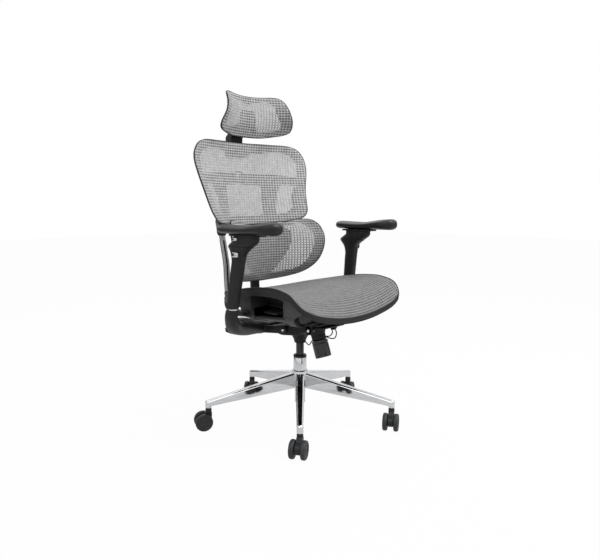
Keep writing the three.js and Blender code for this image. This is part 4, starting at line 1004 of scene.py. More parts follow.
def seatFrameShapes():
    edge = seatPanel.edge
    # the rim: a rounded bead, a fine groove beside the cloth, a land under it and a wall that tucks in below
    shapes = [seatPanel.ringAround(edge, [
        [0, 8], [0.8, 2.4], [of(rimLip, 0.3), 0.5], [of(rimLip, 1, -1.6), 0.3], [of(rimLip, 1, -0.6), 2.0],
        [of(rimLip, 1, 0.2), framing["land"]], [seat["rimWidth"], 2.6], [seat["rimWidth"], 10], [16, 18],
        [6.5, rimDrop], [1.6, of(rimDrop, 1, -2)], [1.2, of(rimDrop, 0.55, 3.6)], [2.0, of(rimDrop, 0.5, 3)],
        [1.2, of(rimDrop, 0.45, 2.4)]], 0.9)]
    # the skirt drops round the rear, from the finger recesses back
    def skirtDepth(x, y):
        return seatPanel.place(x, y, 0)[..., 2] - seat["skirtBottom"]
    rear = edge[edge[:, 1] > seat["skirtFront"]]
    shapes.append(seatPanel.ringAround(rear, [[1.6, 10], [9, 10], [10, skirtDepth], [4, skirtDepth]], 1.2,
                                       isLoop=False))
    # the bowl runs from under the rim in to the slide plate
    def bowlRow(width, share, rise):
        drawn = inset(edge, seatPanel.middle, width)
        top = seatPanel.place(drawn[:, 0], drawn[:, 1], 14)[:, 2]
        return np.column_stack([drawn, top + (seat["plate"] - 3 - top) * share + rise])
    steps, falls = np.array(seat["bowl"], float).T
    widths = np.linspace(steps[0], steps[-1], 22)
    rows = list(zip(widths, hermite(falls, steps, widths)))
    shapes.append(skin(np.stack([*(bowlRow(w, s, 0) for w, s in rows),
                                 *(bowlRow(w + 2, s, 4) for w, s in rows[::-1])], axis=1), isLoop=True))
    # slide plate with the lips that hook round the carrier, and stiffening ribs beneath the bowl
    half, top = seat["plateHalf"], seat["plate"]
    shapes.append(block(-half, half, seat["plateFront"], seat["plateRear"], top - seat["plateThickness"], top,
                        1.4))
    inner, outer, *lip = seat["lip"]
    for side in (-1, 1):
        shapes.append(block(side * inner, side * outer, *lip, top, 0.9))
        for y in seat["ribs"]:
            rib = mirrored(side, [[104, y, 380, 2.2, 3], [132, y, 389, 2.2, 5], [158, y, 405, 2.2, 6]])
            shapes.append(bar(rib, 20, 16, 4, rounding=1))
        shapes += [sidePanel(side), *sideTub(side)]
    return shapes


def sideTub(side):
    # the recess: a back wall with a floor and a slope in to the slide plate, an end wall, a housing behind
    # it under the skirt, and the paddle's mount
    t, wall, edge = tub, tub["wall"], seat["plateHalf"]
    rings = []
    for share in np.linspace(0, 1, 12):
        reach = wall + t["frontWidth"] + (t["rearWidth"] - t["frontWidth"]) * share
        inner, floorTop = wall + t["thickness"], t["floor"] + t["thickness"]
        section = soften([[wall, t["top"]], [inner, t["top"]], [inner, floorTop], [reach, floorTop],
                          [reach, t["floor"] - 3], [edge, t["plateLow"]], [edge - 4, t["plateLow"]],
                          [edge - 4, seat["plate"]], [edge, seat["plate"]], [wall, t["floor"] - 6]], 1.6)
        y = t["front"] + (t["rear"] - t["front"]) * share
        rings.append(np.column_stack([side * section[:, 0], np.full(len(section), y), section[:, 1]]))
    reach = wall + t["rearWidth"]
    end = [[wall, t["floor"]], [reach, t["floor"]], [reach + 18, t["floor"] + 16],
           [reach + 21, t["wallTop"]], [wall + 50, t["wallTop"] + 2], [wall, t["top"] + 2]]
    under = [[wall, t["floor"] - 2], [reach - 4, t["floor"] - 2], [reach + 6, t["floor"] + 8],
             [reach + 8, seat["skirtBottom"] + 8], [wall, seat["skirtBottom"] + 8]]
    front = t["thickness"] - t["rear"]
    upright = [moved(carried(mirrored(side, profile), low, front, rounding, 5), turnAbout("Z", -90))
               for profile, low, rounding in ((end, -t["rear"], 1.2), (under, -t["housingRear"], 1.6))]
    return [skin(np.array(rings)), *upright, block(side * wall, side * paddle["x"], *t["mount"], 3.0)]


def sidePanel(side):
    # a side wall sweeps from the rim down beside the mechanism; each loop runs along one face and back along
    # the other, 3 mm off the middle and up to 4.2 mm at its edges
    x, z, front, rear = drawnThrough(seat["sweep"], 60).T
    slope = unit(np.column_stack([np.gradient(x), np.gradient(z)]))
    share = np.linspace(0, 1, 24)
    wall = 3.0 + 1.2 * np.maximum(smoothStep(1 - share, 0.88, 1.0), smoothStep(share, 0.88, 1.0))
    share = np.concatenate([share, share[::-1]])
    off = np.concatenate([wall, -wall[::-1]])
    y = front[:, None] + (rear - front)[:, None] * share
    x, z = x[:, None] + slope[:, 1:] * off, z[:, None] - slope[:, :1] * off
    return skin(np.stack([side * x, y, z], axis=-1))


def addSeat():
    addPiece("seat_rim", seatFrameShapes(), "seat", blackNylon, ["seat_frame"], 40)
    seatPanel.addCloth("seat_cloth", "seat", "seat_rim", "seat_mesh", seatNetPaintedShade, of(rimLip, 1, 0.4), 40, 300)
    print("seat is made")


addSeat()


def addPaddles():
    # a blade with ridges across its tip, one in each finger recess
    blade = carried(paddle["profile"], -paddle["half"], paddle["half"], 2.2, 1.6)
    ridges = [bar([[x, y, z, 1.1, 1.1] for y, z in ((13, 5.2), (24, 4.2), (35, 2.6))], 16, 12, rounding=0.8)
              for x in np.linspace(-18, 18, paddle["ridges"])]
    for name, body, node, side in (("paddle_for_height", "paddle_right", "height_paddle", -1),
                                   ("paddle_for_tilt", "paddle_left", "tilt_lock_paddle", 1)):
        place = side * paddle["x"], paddle["y"], paddle["z"]
        shapes = [moved(shape, turnAbout("Z", -90 * side), place) for shape in (blade, *ridges)]
        addPiece(name, shapes, body, satinNylon, [node])
    print("paddles are made")


addPaddles()


# arms: a chrome core leans forward and inward from the elbow, a sleeve slides on it, a pad slides on its
# head; a window or a lever is (half length, half height, how far its face stands off the sleeve's middle)
arm = dict(x=286, elbowTop=430, footY=21.5, leanForward=0.145, leanInward=0.0676, headX=271.5, headTop=668,
           sleeveLow=435.6, buttonY=-10, reach=7, plate=6,
           trigger=dict(z=610, window=(14.4, 9.9, 20.2), lever=(12, 7.5, 20.5)),
           button=dict(z=659, window=(13, 6.4, 22.6), lever=(11, 4.5, 23)))
armPad = dict(x=283, length=268, halfWidth=45, rear=30, front=40, middle=-63, bottom=674.6, planRound=56,
              sideRound=22, roundPower=2.2, waist=0.12, fill=0.9)


def armAt(side, z):
    # the core's middle at a height
    rise = z - arm["elbowTop"]
    return side * (arm["x"] - arm["leanInward"] * rise), arm["footY"] - arm["leanForward"] * rise


def padSurface(side):
    # ovals across a line from the rear to the front; near both ends their width and height follow
    # sqrt(1 - t^2.2), where t runs from 0 to 1 over the last planRound or sideRound of the length
    share = (1 - np.cos(np.linspace(0, pi, 110))) / 2
    fromEnd = np.minimum(share, 1 - share) * armPad["length"]
    wide, tall = (np.sqrt(np.maximum(1 - np.clip(1 - fromEnd / reach, 0, 1)**armPad["roundPower"], 0))
                  for reach in (armPad["planRound"], armPad["sideRound"]))
    height = armPad["rear"] + (armPad["front"] - armPad["rear"]) * smoothStep(share, 0.45, 0.85)
    half = height / 2 * (1 - armPad["waist"] * np.sin(pi * share))
    out, up = oval(64, 2.5)
    x = side * armPad["x"] + out[None, :] * armPad["halfWidth"] * wide[:, None]
    y = armPad["middle"] + (0.5 - share)[:, None] * armPad["length"] + 0 * x
    rise = up[None, :] * (half * tall)[:, None]
    return skin(np.stack([x, y, armPad["bottom"] + half[:, None] + rise], axis=-1))


def roundFrame(half, tall, corner):
    # a rectangle with round corners, drawn as a loop
    turn = np.linspace(0, pi / 2, 8)
    loop = []
    for i, (a, b) in enumerate(((1, 1), (-1, 1), (-1, -1), (1, -1))):
        angle = turn + i * pi / 2
        loop.append(np.column_stack([a * (half - corner) + corner * np.cos(angle),
                                     b * (tall - corner) + corner * np.sin(angle)]))
    return np.vstack(loop)


def addArm(label, side):
    def core(low, high, count, half, deep):
        return [[*armAt(side, z), z, half, deep] for z in np.linspace(low, high, count)]
    def onFace(loop, out, z, grow=1):
        # a loop of [along, up] on the arm's outer face
        return np.column_stack([np.full(len(loop), side * out), loop[:, 0] * grow + arm["buttonY"],
                                loop[:, 1] * grow + z])
    # core: a rounded bar, and the polished ring that sits on the elbow
    shapes = [stack(core(410.3, 600, 12, 9, 15), 40, 48, 3, rounding=1.2),
              stack(core(430.3, 435.3, 3, 15, 21), 12, 72, 2.4, rounding=1.2)]
    addPiece(f"arm_bar_{label}", shapes, "yoke", chrome, [f"arm_core_{label}"])
    x, low = side * arm["headX"], arm["sleeveLow"]
    at = lambda z: (*armAt(side, z), z)
    # sleeve: it widens into the head, which has a collar above a narrow waist
    sleeve = [[*at(low), 16, 22], [*at(500), 17.2, 22.6], [*at(560), 18.3, 23.4], [*at(592), 19.2, 24.4],
              [x + side * 2, -2, 612, 21, 30], [x, -5, 626, 22, 44], [x, -8, 634, 23, 54.5]]
    shapes = [stack(sleeve, 90, 96, 2.6, rounding=1.6),
              stack([[x, -9, 635.4, 22.2, 54.6], [x, -16, 640.5, 23, 56], [x, -26, 647, 23, 56],
                     [x, -36, 657, 23, 53], [x, -36, arm["headTop"], 23, 53]], 40, 96, 2.6, rounding=1.2),
              stack([[x, -8, 632, 20.8, 52], [x, -9, 637, 20.8, 52]], 6, 96, 2.6)]
    controls = ((arm["trigger"], abs(at(arm["trigger"]["z"])[0]), "trigger", "trigger", "arm_trigger"),
                (arm["button"], arm["headX"], "pad_release", "pad_button", "arm_pad_button"))
    for control, wall, _, _, _ in controls:
        half, tall, off = control["window"]
        outer, inner = roundFrame(half, tall, 3.0), roundFrame(half - 2.1, tall - 2.1, 1.6)
        loops = [onFace(loop, wall + off + deep, control["z"])
                 for loop, deep in ((inner, -2), (inner, 0.3), (outer, 0.3), (outer, -3.5))]
        shapes.append(skin(soften(np.stack(loops, axis=1), 0.5), isLoop=True))
    addPiece(f"sleeve_{label}", shapes, f"arm_{label}", blackNylon,
             [f"arm_sleeve_{label}"], 40)
    # the levers in the two windows have convex crowns
    reach = arm["reach"]
    for control, wall, name, body, node in controls:
        half, tall, off = control["lever"]
        loop = roundFrame(half, tall, 2.2)
        crown = [onFace(loop, wall + off + deep, control["z"], grow)
                 for grow, deep in ((1, -7), (1, reach - 2.4), (0.98, reach - 1.7), (0.92, reach - 1),
                                    (0.75, reach - 0.45), (0.4, reach - 0.1), (0.02, reach))]
        addPiece(f"{name}_{label}", [skin(np.array(crown))], f"{body}_{label}", chrome,
                 [f"{node}_{label}"])
    # the plate that the pad slides on
    plateLow = arm["headTop"] + 0.3
    middle = armPad["middle"]
    plate = block(x - 26, x + 26, middle - 40, middle + 84, plateLow, plateLow + arm["plate"], 1.6)
    addPiece(f"plate_{label}", [plate], f"arm_top_{label}", dullNylon,
             [f"arm_plate_{label}"])
    pad = addPiece(f"pad_cushion_{label}", [padSurface(side)], f"pad_{label}", softPad,
                   [f"arm_pad_{label}"], 70)


for armLabel, armSide in (("right", -1), ("left", 1)):
    addArm(armLabel, armSide)
print("arms are made")


# base: five bevelled legs that thin towards their caster bosses, round a hub
base = dict(legs=5, firstLeg=-135, reach=330, rootWidth=32, tipWidth=21, rootTop=178, tipTop=101.5,
            rootDepth=56, tipDepth=20, bevel=4.5, bossBottom=75, hubRadius=29, hubTop=182, hubBottom=118,
            hubBore=24.2)


def legAngle(i):
    # the bearing of a leg, in degrees from +X
    return base["firstLeg"] + i * 360 / base["legs"]


def legSurface():
    # a section with a flat top, two bevels and two walls runs from the hub to the boss, its edges softened
    rows = []
    for share in np.linspace(0.03, 1, 60):
        width, top, depth = (base["root" + part] + (base["tip" + part] - base["root" + part]) * share
                             for part in ("Width", "Top", "Depth"))
        half, bevel = width / 2, base["bevel"]
        right = [[half, top - depth], [half, top - bevel], [half - bevel, top]]
        section = soften(soften(right + mirrored(-1, right[::-1]), 1.3), 0.35)
        rows.append(np.column_stack([np.full(len(section), base["reach"] * share), section]))
    return skin(np.array(rows))


def addBase():
    radius, low, top, bore = base["hubRadius"], base["hubBottom"], base["hubTop"], base["hubBore"]
    shapes = [turned([[0, low], [radius - 3, low], [radius, low + 6], [radius, top - 3], [radius - 3, top],
                      [bore, top], [bore, top - 4], [0, top - 4]], 120, 1.0)]
    radius, low, top, bevel = base["tipWidth"] / 2, base["bossBottom"], base["tipTop"], base["bevel"]
    boss = turned([[0, low], [radius - 0.8, low], [radius, low + 1.4], [radius, top - bevel],
                   [radius - bevel, top], [0, top]], 80, 1.2)
    leg = legSurface(), moved(boss, by=(base["reach"], 0, 0))
    shapes += [moved(shape, turnAbout("Z", legAngle(i))) for i in range(base["legs"]) for shape in leg]
    addPiece("polished_base", shapes, "base", chrome, ["base_star"], 38)
    print("base is made")


addBase()


# casters: two wheels beside a hood; trails are the directions in which they follow, leg by leg; hub is
# [radius, how far in from the wheel's outer face]
caster = dict(trails=[-150, -150, -150, -140, 153], radius=30, width=16, centres=37, gap=0.9, trail=18,
              hood=21, collar=10.5, stem=5.5, stemLength=20, axle=4, axleHalf=22.5,
              hub=[[0, 3.2], [3.6, 3.0], [5.6, 1.2], [7.6, 1.2], [8.4, 2.8], [17.5, 3.0], [18.4, 0.9],
                   [20.4, 0.6], [21.2, 1.8], [23.6, 1.8], [24.4, 0.3], [26.4, 0.2]])


def hoodShapes():
    # a quarter-round cowl that runs into its collar, with a thin ring, the stem above it and the wheels' axle
    c = caster
    half = (c["centres"] - c["width"]) / 2 - c["gap"]
    collar, trail, radius = c["collar"], c["trail"], c["radius"]
    turn = np.radians(np.linspace(90, 210, 40))
    arc = np.column_stack([-trail + c["hood"] * np.cos(turn), radius + c["hood"] * np.sin(turn)])
    profile = np.vstack([arc, [[2 * c["axle"] - trail, radius - c["hood"] / 2], [collar, radius + 12],
                               [collar, radius + 32], [-collar, radius + 34]]])
    shell = moved(carried(profile, -half, half, 1.4, 1.0), turnAbout("Z", -90))
    neck = turned([[0, 55], [collar - 1.2, 55], [collar, 58], [collar, 72], [collar - 1, 74.6],
                   [0, 74.6]], 60, 0.8)
    ring = turned([[collar - 1, 66.5], [collar, 66.5], [collar, 68.5], [collar - 1, 68.5]], 60, 0.3)
    stem = rod(c["stem"], 60, base["bossBottom"] + c["stemLength"], 32)
    pin = moved(rod(c["axle"], -c["axleHalf"], c["axleHalf"], 32, 0.6), turnAbout("X", 90),
                (-trail, 0, radius))
    return [cast([shell, neck], 1.0, 4), ring, stem, pin]


def wheelShape():
    # tyre with a crowned tread, a dished web with a raised ring, and a domed hub cap
    half, radius = caster["width"] / 2, caster["radius"]
    tread = [[radius - 1.4, half - 1.6], [radius - 0.15, half - 4.2], [radius, 0],
             [radius - 0.15, 4.2 - half], [radius - 1.4, 1.6 - half]]
    face = [[r, half - deep] for r, deep in caster["hub"]]
    return turned([*face, *tread, [25, 0.1 - half], [0, 0.1 - half]], 96, 0.7)


def addCasters():
    hoods, wheel = hoodShapes(), wheelShape()
    for i, trail in enumerate(caster["trails"]):
        leg = radians(legAngle(i))
        by = (base["reach"] * cos(leg), base["reach"] * sin(leg), 0)
        turn, number = turnAbout("Z", trail + 180), i + 1
        addPiece(f"hood_{number}", [moved(shape, turn, by) for shape in hoods], f"caster_{number}",
                 satinNylon, [f"caster_hood_{number}"], 40)
        for label, side in (("a", 1), ("b", -1)):
            laid = moved(wheel, turnAbout("X", -side * 90),
                         (-caster["trail"], side * caster["centres"] / 2, caster["radius"]))
            addPiece(f"roller_{number}{label}", [moved(laid, turn, by)], f"wheel_{number}{label}",
                     casterTread, [f"caster_wheel_{number}{label}"], 40)
    print("casters are made")


addCasters()


# gas lift: outer tube, the guide in its mouth and the column
lift = dict(tube=23.5, foot=18.5, top=228, bottom=62, bore=16, mouth=21, mouthLow=178, lip=9, column=14,
            columnBottom=118, columnTop=328, guideBore=14.3)


def addLift():
    tube, top, bottom, mouth, low = (lift[key] for key in ("tube", "top", "bottom", "mouth", "mouthLow"))
    sleeve = turned([[14.8, bottom], [lift["foot"], bottom], [lift["foot"], 110], [tube, 124], [tube, top],
                     [mouth, top], [mouth, low], [lift["bore"], low - 6], [lift["bore"], bottom + 6],
                     [14.8, bottom + 6]], 120, 0.7, isClosed=True)
    addPiece("polished_tube", [sleeve], "base", chrome, ["lift_tube"])
    bore, lip = lift["guideBore"], top + lift["lip"]
    guide = turned([[bore, low + 0.3], [mouth - 0.3, low + 0.3], [mouth - 0.3, top + 0.3], [tube, top + 0.3],
                    [tube, lip - 2], [tube - 2, lip], [bore, lip]], 96, 0.7, isClosed=True)
    addPiece("tube_guide", [guide], "base", satinNylon, ["lift_guide"])
    addPiece("lift_rod", [rod(lift["column"], lift["columnBottom"], lift["columnTop"], 96)], "column",
             glossBlack, ["lift_column"])
    print("gas lift is made")


addLift()


def alongLine(shape, start, end):
    # lays a shape made on +Z along the line between two points
    z = unit(np.asarray(end, float) - np.asarray(start, float))
    x = unit(np.cross([0, 1, 0.01], z))
    return moved(shape, np.column_stack([x, np.cross(z, x), z]), start)


# mechanism: a long box with a flared neck over the lift and the tension spring's housing
mechanism = dict(halfWidth=56, springTop=(-80, 345), springEnd=(-115, 247), springRadius=25, knobRadius=28,
                 knobLength=60, knobHole=19.3, reclinePin=(20, 332), seatPin=(-104, 347), pinRadius=6,
                 pinHalf=66.8, ribs=(-38, -19, 0, 19, 38),
                 box=[[-166, 364], [-162, 358], [-112, 346], [-62, 330], [-40, 318], [38, 308], [84, 314],
                      [104, 318], [104, 333], [60, 340], [-60, 357], [-130, 363]],
                 neck=[[0, 280], [20, 280], [22, 292], [28, 304], [44, 320], [44, 332], [0, 332]],
                 shoulder=[[0, 0], [33, 0], [29, 14], [25, 24], [0, 24]])
springTop, springEnd = (np.array([0, *mechanism[end]], float) for end in ("springTop", "springEnd"))
springLength = float(np.linalg.norm(springEnd - springTop))


def addMechanism():
    m = mechanism
    half, radius, tubeEnd = m["halfWidth"], m["springRadius"], springLength - m["knobLength"]
    tube = turned([[0, 0], [radius, 0], [radius, tubeEnd - 1.5], [radius - 1.5, tubeEnd], [0, tubeEnd]],
                  96, 0.8)
    shapes = [cast([carried(m["box"], -half, half, 5, 3), turned(m["neck"], 96, 2),
                    alongLine(tube, springTop, springEnd),
                    alongLine(turned(m["shoulder"], 96, 3), springTop, springEnd)], 2.0, 5)]
    # ribs across the underside and round bosses where its pins pass
    for x in m["ribs"]:
        shapes.append(bar([[x, -150, 357, 1.6, 3], [x, -110, 347, 1.6, 4], [x, -86, 340, 1.6, 4]], 20, 14, 4,
                          reference=(0, 0, 1), rounding=0.8))
    boss = turned([[0, 0], [10.5, 0], [10.5, 0.5], [9, 0.6], [0, 0.6]], 48, 0.2)
    for side in (-1, 1):
        for pin in (m["reclinePin"], m["seatPin"]):
            shapes.append(moved(boss, turnAbout("Y", 90 * side), (side * (half - 0.1), *pin)))
    addPiece("mechanism_casting", shapes, "mechanism", dullNylon, ["mechanism_housing"])
    for name, node, pin in (("pin_for_recline", "recline_pin", m["reclinePin"]),
                            ("pin_for_seat", "seat_tilt_pin", m["seatPin"])):
        addPiece(name, [crossPin(m["pinRadius"], 2 * m["pinHalf"], *pin, 0, 1.0)], "mechanism", chrome,
                 [node])
    # knob: a smooth grip with one groove and a dished end
    low, high, r = tubeEnd + 0.3, springLength, m["knobRadius"]
    grip = turned([[0, low], [m["knobHole"], low], [r - 1, low], [r, low + 1.5], [r, low + 9],
                   [r - 0.9, low + 10], [r - 0.9, low + 11.5], [r, low + 12.5], [r, high - 3],
                   [r - 2, high - 0.4], [r - 5, high], [r - 7, high - 1.2], [0, high - 1.6]], 144, 0.6)
    addPiece("tension_grip", [alongLine(grip, springTop, springEnd)], "knob", glossBlack,
             ["tension_knob"])
    print("mechanism is made")


addMechanism()


# control cables: each is held at both ends, a gap off the mechanism
cables = dict(radius=1.9, gap=0.9)
springAxis = unit(springEnd - springTop)
springFront = np.cross(springAxis, [1, 0, 0])
noseUnderside = through(mechanism["box"][1:3])


def besideSpring(angle, down, off):
    # a point round the spring housing: an angle from +X to the front, a way down and a way off its wall
    reach = mechanism["springRadius"] + off
    return springTop + springAxis * down + reach * (np.array([1, 0, 0]) * cos(radians(angle))
                                                    + springFront * sin(radians(angle)))


def underNose(x, y, drop):
    # a point below the sloping front of the box
    return np.array([x, y, float(noseUnderside(y)) - drop])


def besideNeck(angle, rise, off):
    # an angle from the front to +X, a way up from the neck's lower end and a way off its wall
    radius, height = mechanism["neck"][2][0] + off, mechanism["neck"][0][1] + rise
    return np.array([radius * sin(radians(angle)), -radius * cos(radians(angle)), height])


def splineRows(points, count):
    # an open Catmull-Rom curve, its ends run on in mirror image
    p = np.vstack([2 * points[0] - points[1], points, 2 * points[-1] - points[-2]])
    return np.vstack([catmullRom(p[:-3], p[1:-2], p[2:-1], p[3:], count // (len(points) - 1)), points[-1:]])


def addCables():
    off = cables["gap"]
    routes = {
        "front": [underNose(16, -148, off), underNose(18, -156, 20), underNose(19, -148, 38),
                  besideSpring(62, 46, 12), besideSpring(62, 38, off)],
        "middle": [underNose(30, -118, off), underNose(32, -126, 18), besideSpring(42, 39, 11),
                   besideSpring(42, 36, off)],
        "rear": [besideNeck(8, 7, off), besideNeck(10, -3, 12), besideSpring(-100, 50, 20),
                 besideSpring(-100, 42, 9), besideSpring(-100, 37, off)],
    }
    for label, route in routes.items():
        rows = splineRows(np.array(route), 80)
        shape = bar(np.column_stack([rows, np.full((len(rows), 2), cables["radius"])]), 160, 16,
                    reference=(1, 0.2, 0.1))
        addPiece(f"control_cable_{label}", [shape], "mechanism", satinNylon,
                 [f"cable_{label}"])
    print("cables are made")


addCables()


# seat carrier: a plate on two lugs that turn on the seat pin
carrier = dict(plate=(-72, 72, -158, 120, 368, 376), lugX=60.8, lugHalf=4, lugRadius=15, lugTop=370,
               lugSlope=26)


def addCarrier():
    (y, z), radius, top = mechanism["seatPin"], carrier["lugRadius"], carrier["lugTop"]
    shapes = [block(*carrier["plate"], 1.4)]
    for side in (-1, 1):
        x, half = side * carrier["lugX"], carrier["lugHalf"]
        shapes.append(carried([[y - radius, top], [y - radius, z], [y - 10.6, z - 10.6], [y, z - radius],
                               [y + 10.6, z - 10.6], [y + radius, z], [y + carrier["lugSlope"], top]],
                              x - half, x + half, 1.2, 3))
        shapes.append(crossPin(radius, 2 * half, y, z, x, 1.0))
    addPiece("carrier_plate", shapes, "carrier", dullNylon, ["seat_carrier"])
    print("seat carrier is made")


addCarrier()


# recline yoke: fork on its pin, cross beam, arm elbows and the sockets of the back's two supports; a station
# is [x, y, z, half width, half depth], line is [z, y] up the upright, and the fins stand between two places
yoke = dict(line=[[372, 404], [410, 408], [460, 412], [500, 414.2], [538, 417], [568, 423.9]],
            straightFrom=538, straightY=417, slope=0.23, columnFootY=240, columnSlope=0.0417, spineTop=398,
            columnTop=400, forkRadius=14, forkInner=56.8, forkOuter=64.8, forkTail=[[134, 304], [134, 330]],
            fins=5, finFrom=(205, 118, 334), finTo=(249, 84, 352), finReach=(10, 10, -2),
            beam=[[-74, 146, 320, 19, 28], [0, 150, 319, 19, 29], [74, 146, 320, 19, 28]],
            columnArm=[[0, 158, 322, 12, 24], [0, 200, 328, 12, 24], [0, 230, 350, 13, 24]],
            spineArm=[[0, 150, 326, 14, 20], [0, 220, 340, 13, 19], [0, 290, 345, 12.5, 18],
                      [0, 350, 342, 12.5, 18], [0, 386, 348, 12.5, 18], [0, 404, 368, 11, 18]],
            elbow=[[40, 146, 322, 21, 28], [100, 144, 331, 27, 36], [150, 127, 341, 31, 37],
                   [200, 98, 352, 29, 33], [241, 68, 364, 25, 27], [268, 44, 384, 20, 25],
                   [283, 30, 408, 17, 23]])
uprightLine = through(yoke["line"])


def uprightY(z):
    # the upright bends in its lower part and leans back in a straight line above it
    straight = yoke["straightY"] + yoke["slope"] * (z - yoke["straightFrom"])
    return float(np.where(z < yoke["straightFrom"], uprightLine(z), straight))


def columnY(z):
    # the lumbar pad's column leans back in a straight line
    return yoke["columnFootY"] + yoke["columnSlope"] * (z - yoke["columnTop"])


def below(shape, top):
    # levels off whatever stands above a height
    points = shape[0].copy()
    points[:, 2] = np.minimum(points[:, 2], top)
    return points, shape[1], shape[2]


def yokeShapes():
    # beam, arms, elbows and forks run together in one casting; each fork is a half circle and a straight tail
    y, z = mechanism["reclinePin"]
    turn = np.radians(np.linspace(90, 270, 30))
    arc = np.column_stack([y + yoke["forkRadius"] * np.cos(turn), z + yoke["forkRadius"] * np.sin(turn)])
    columnArm = yoke["columnArm"] + [[0, columnY(h), h, 13, 23] for h in (384, 404)]
    spineArm = yoke["spineArm"] + [[0, uprightY(h), h, 10, 18] for h in (390, 404)]
    solids = [bar(yoke["beam"], 60, 44, 2.6),
              below(bar(columnArm, 60, 40, 3, reference=(1, 0, 0)), yoke["columnTop"]),
              below(bar(spineArm, 90, 40, 3, reference=(1, 0, 0)), yoke["spineTop"])]
    fins = []
    for side in (-1, 1):
        elbow = mirrored(side, yoke["elbow"]) + [[*armAt(side, h), h, 16, 22] for h in (430, 444)]
        solids += [below(bar(elbow, 110, 44, 2.4), arm["elbowTop"]),
                   carried(np.vstack([arc, yoke["forkTail"]]),
                           *sorted((side * yoke["forkInner"], side * yoke["forkOuter"])), 1.4, 1.2)]
        # fins on each elbow's rear outside
        for root in np.linspace(yoke["finFrom"], yoke["finTo"], yoke["fins"]):
            centre, tip = root * [side, 1, 1], (root + yoke["finReach"]) * [side, 1, 1]
            stations = [[*centre, 1.5, 9], [*((centre + tip) / 2), 1.5, 9.5], [*tip, 1.5, 7]]
            fins.append(bar(stations, 14, 16, 3, reference=(0, 0, 1), rounding=0.8))
    return [cast(solids, 2.0, 4), *fins]


# aluminium upright, with a slot between its two sides and a dark strip set in the slot as painted shade
upright = dict(halfWidth=12.5, halfDepth=6.5, foot=372.3, top=700, slotHalf=4.2, slotLow=416, slotHigh=624,
               slotShadeDepth=2.2, slotShadeBack=1.5)
# the lumbar pad's column, and the teeth up its rear face: the first, the end and the step of their heights
column = dict(heights=(370.3, 460, 550, 640), halfWidth=19, halfDepth=9, toothHalf=12, toothHeight=1.2,
              teeth=(500, 634, 8))


def uprightShapes():
    # two sides and the solid ends above and below the slot, each an oval stack along the upright's line
    u = upright
    def length(low, high, x, half):
        heights = np.linspace(low, high, max(3, int((high - low) / 24)))
        rows = [[x, uprightY(z), z, half, u["halfDepth"]] for z in heights]
        return stack(rows, max(8, int((high - low) / 3)), 40, 5, rounding=0.6)
    across, half = (u["halfWidth"] + u["slotHalf"]) / 2, (u["halfWidth"] - u["slotHalf"]) / 2
    ends = [length(u["foot"], u["slotLow"], 0, u["halfWidth"]),
            length(u["slotHigh"], u["top"], 0, u["halfWidth"])]
    return ends + [length(u["slotLow"] - 4, u["slotHigh"] + 4, x, half) for x in (-across, across)]


def uprightSlotShade():
    # a thin dark strip in the slot, set back from both faces: painted shade for the inside of the slot
    u = upright
    heights = np.linspace(u["slotLow"] + 0.5, u["slotHigh"] - 0.5, 12)
    rows = [[0, uprightY(z) + u["slotShadeBack"], z, u["slotHalf"] - 0.2, u["slotShadeDepth"]] for z in heights]
    return stack(rows, 90, 24, 5, rounding=0.5)


def columnShapes():
    # a stack of ovals along the column's line, and a block for each tooth
    c = column
    rows = [[0, columnY(z), z, c["halfWidth"], c["halfDepth"]] for z in c["heights"]]
    shapes = [stack(rows, 40, 64, 4, rounding=2)]
    half = c["toothHalf"]
    for z in np.arange(*c["teeth"]):
        rear = columnY(z) + c["halfDepth"] - 1
        shapes.append(block(-half, half, rear, rear + c["toothHeight"], z - 1.6, z + 1.6, 0.5))
    return shapes


def addYoke():
    addPiece("yoke_casting", yokeShapes(), "yoke", blackNylon, ["recline_yoke"])
    addPiece("upright_rail", uprightShapes(), "yoke", drawnAluminium, ["spine_upright"])
    # a dark strip in the upright's slot: painted shade
    addPiece("upright_slot_shade", [uprightSlotShade()], "yoke", satinNylon)
    addPiece("lumbar_post", columnShapes(), "yoke", satinNylon, ["lumbar_column"])
    print("yoke and supports are made")


addYoke()


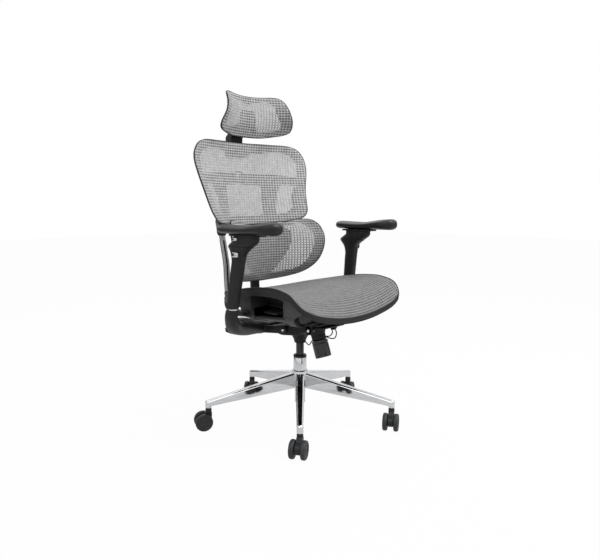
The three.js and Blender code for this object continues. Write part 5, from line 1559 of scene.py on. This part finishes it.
# back carriage: a cap on the upright and two arms forward to the back's feet; cap is [height, swell], and
# the lumbar slider's sleeve reaches from the pivot by the given steps
carriage = dict(cap=[[642, 0], [648, 1.5], [674, 1.5], [700, 1.5], [708, 0]], capHalfWidth=15.5,
                capHalfDepth=10.5,
                arm=[[0, 447, 676, 9, 16], [28, 420, 684, 11, 15], [66, 376, 696, 11, 14],
                     [94, 332, 706, 10, 14], [105, 302, 710, 10, 14]],
                footInner=90, footOuter=120, foot=(298.3, 310, 692, 728), screwX=113, screws=(701, 719),
                sleeve=(-34, -20, 16, 30), sleeveHalf=26, sleeveDepth=16, noseHalf=25, pinHalf=40)


def addCarriage():
    c = carriage
    cap = [[0, uprightY(z), z, c["capHalfWidth"] + swell, c["capHalfDepth"] + swell]
           for z, swell in c["cap"]]
    solids = [stack(cap, 50, 64, 4, rounding=2)]
    screw = turned([[0, -1], [4.4, -1], [4.4, 1.0], [2.2, 1.2], [2.0, 0.2], [0, 0.2]], 32, 0.3)
    screws = []
    for side in (-1, 1):
        solids += [bar(mirrored(side, c["arm"]), 70, 36, 2.6, reference=(0, 0, 1)),
                   block(side * c["footInner"], side * c["footOuter"], *c["foot"], 2.5)]
        screws += [moved(screw, turnAbout("X", -90), (side * c["screwX"], c["foot"][1] + 0.3, z))
                   for z in c["screws"]]
    addPiece("carriage_casting", [cast(solids, 1.8, 4), *screws], "back", satinNylon,
             ["back_carriage"])

    # lumbar slider: a sleeve on the column with the pad's pivot pin
    y, z = lumbar["pivot"]
    sleeve = [[0, columnY(z + step), z + step, c["sleeveHalf"], c["sleeveDepth"]] for step in c["sleeve"]]
    solids = [stack(sleeve, 30, 64, 4, rounding=2.5),
              block(-c["noseHalf"], c["noseHalf"], y - 9, y + 9, z, z + 10, 2),
              crossPin(9, 2 * c["noseHalf"], y, z, 0, 1.2)]
    addPiece("lumbar_slide_block", [cast(solids, 1.6, 4), crossPin(5, 2 * c["pinHalf"], y, z)],
             "lumbar_slide", satinNylon, ["lumbar_slider"])
    print("carriage and slider are made")


addCarriage()
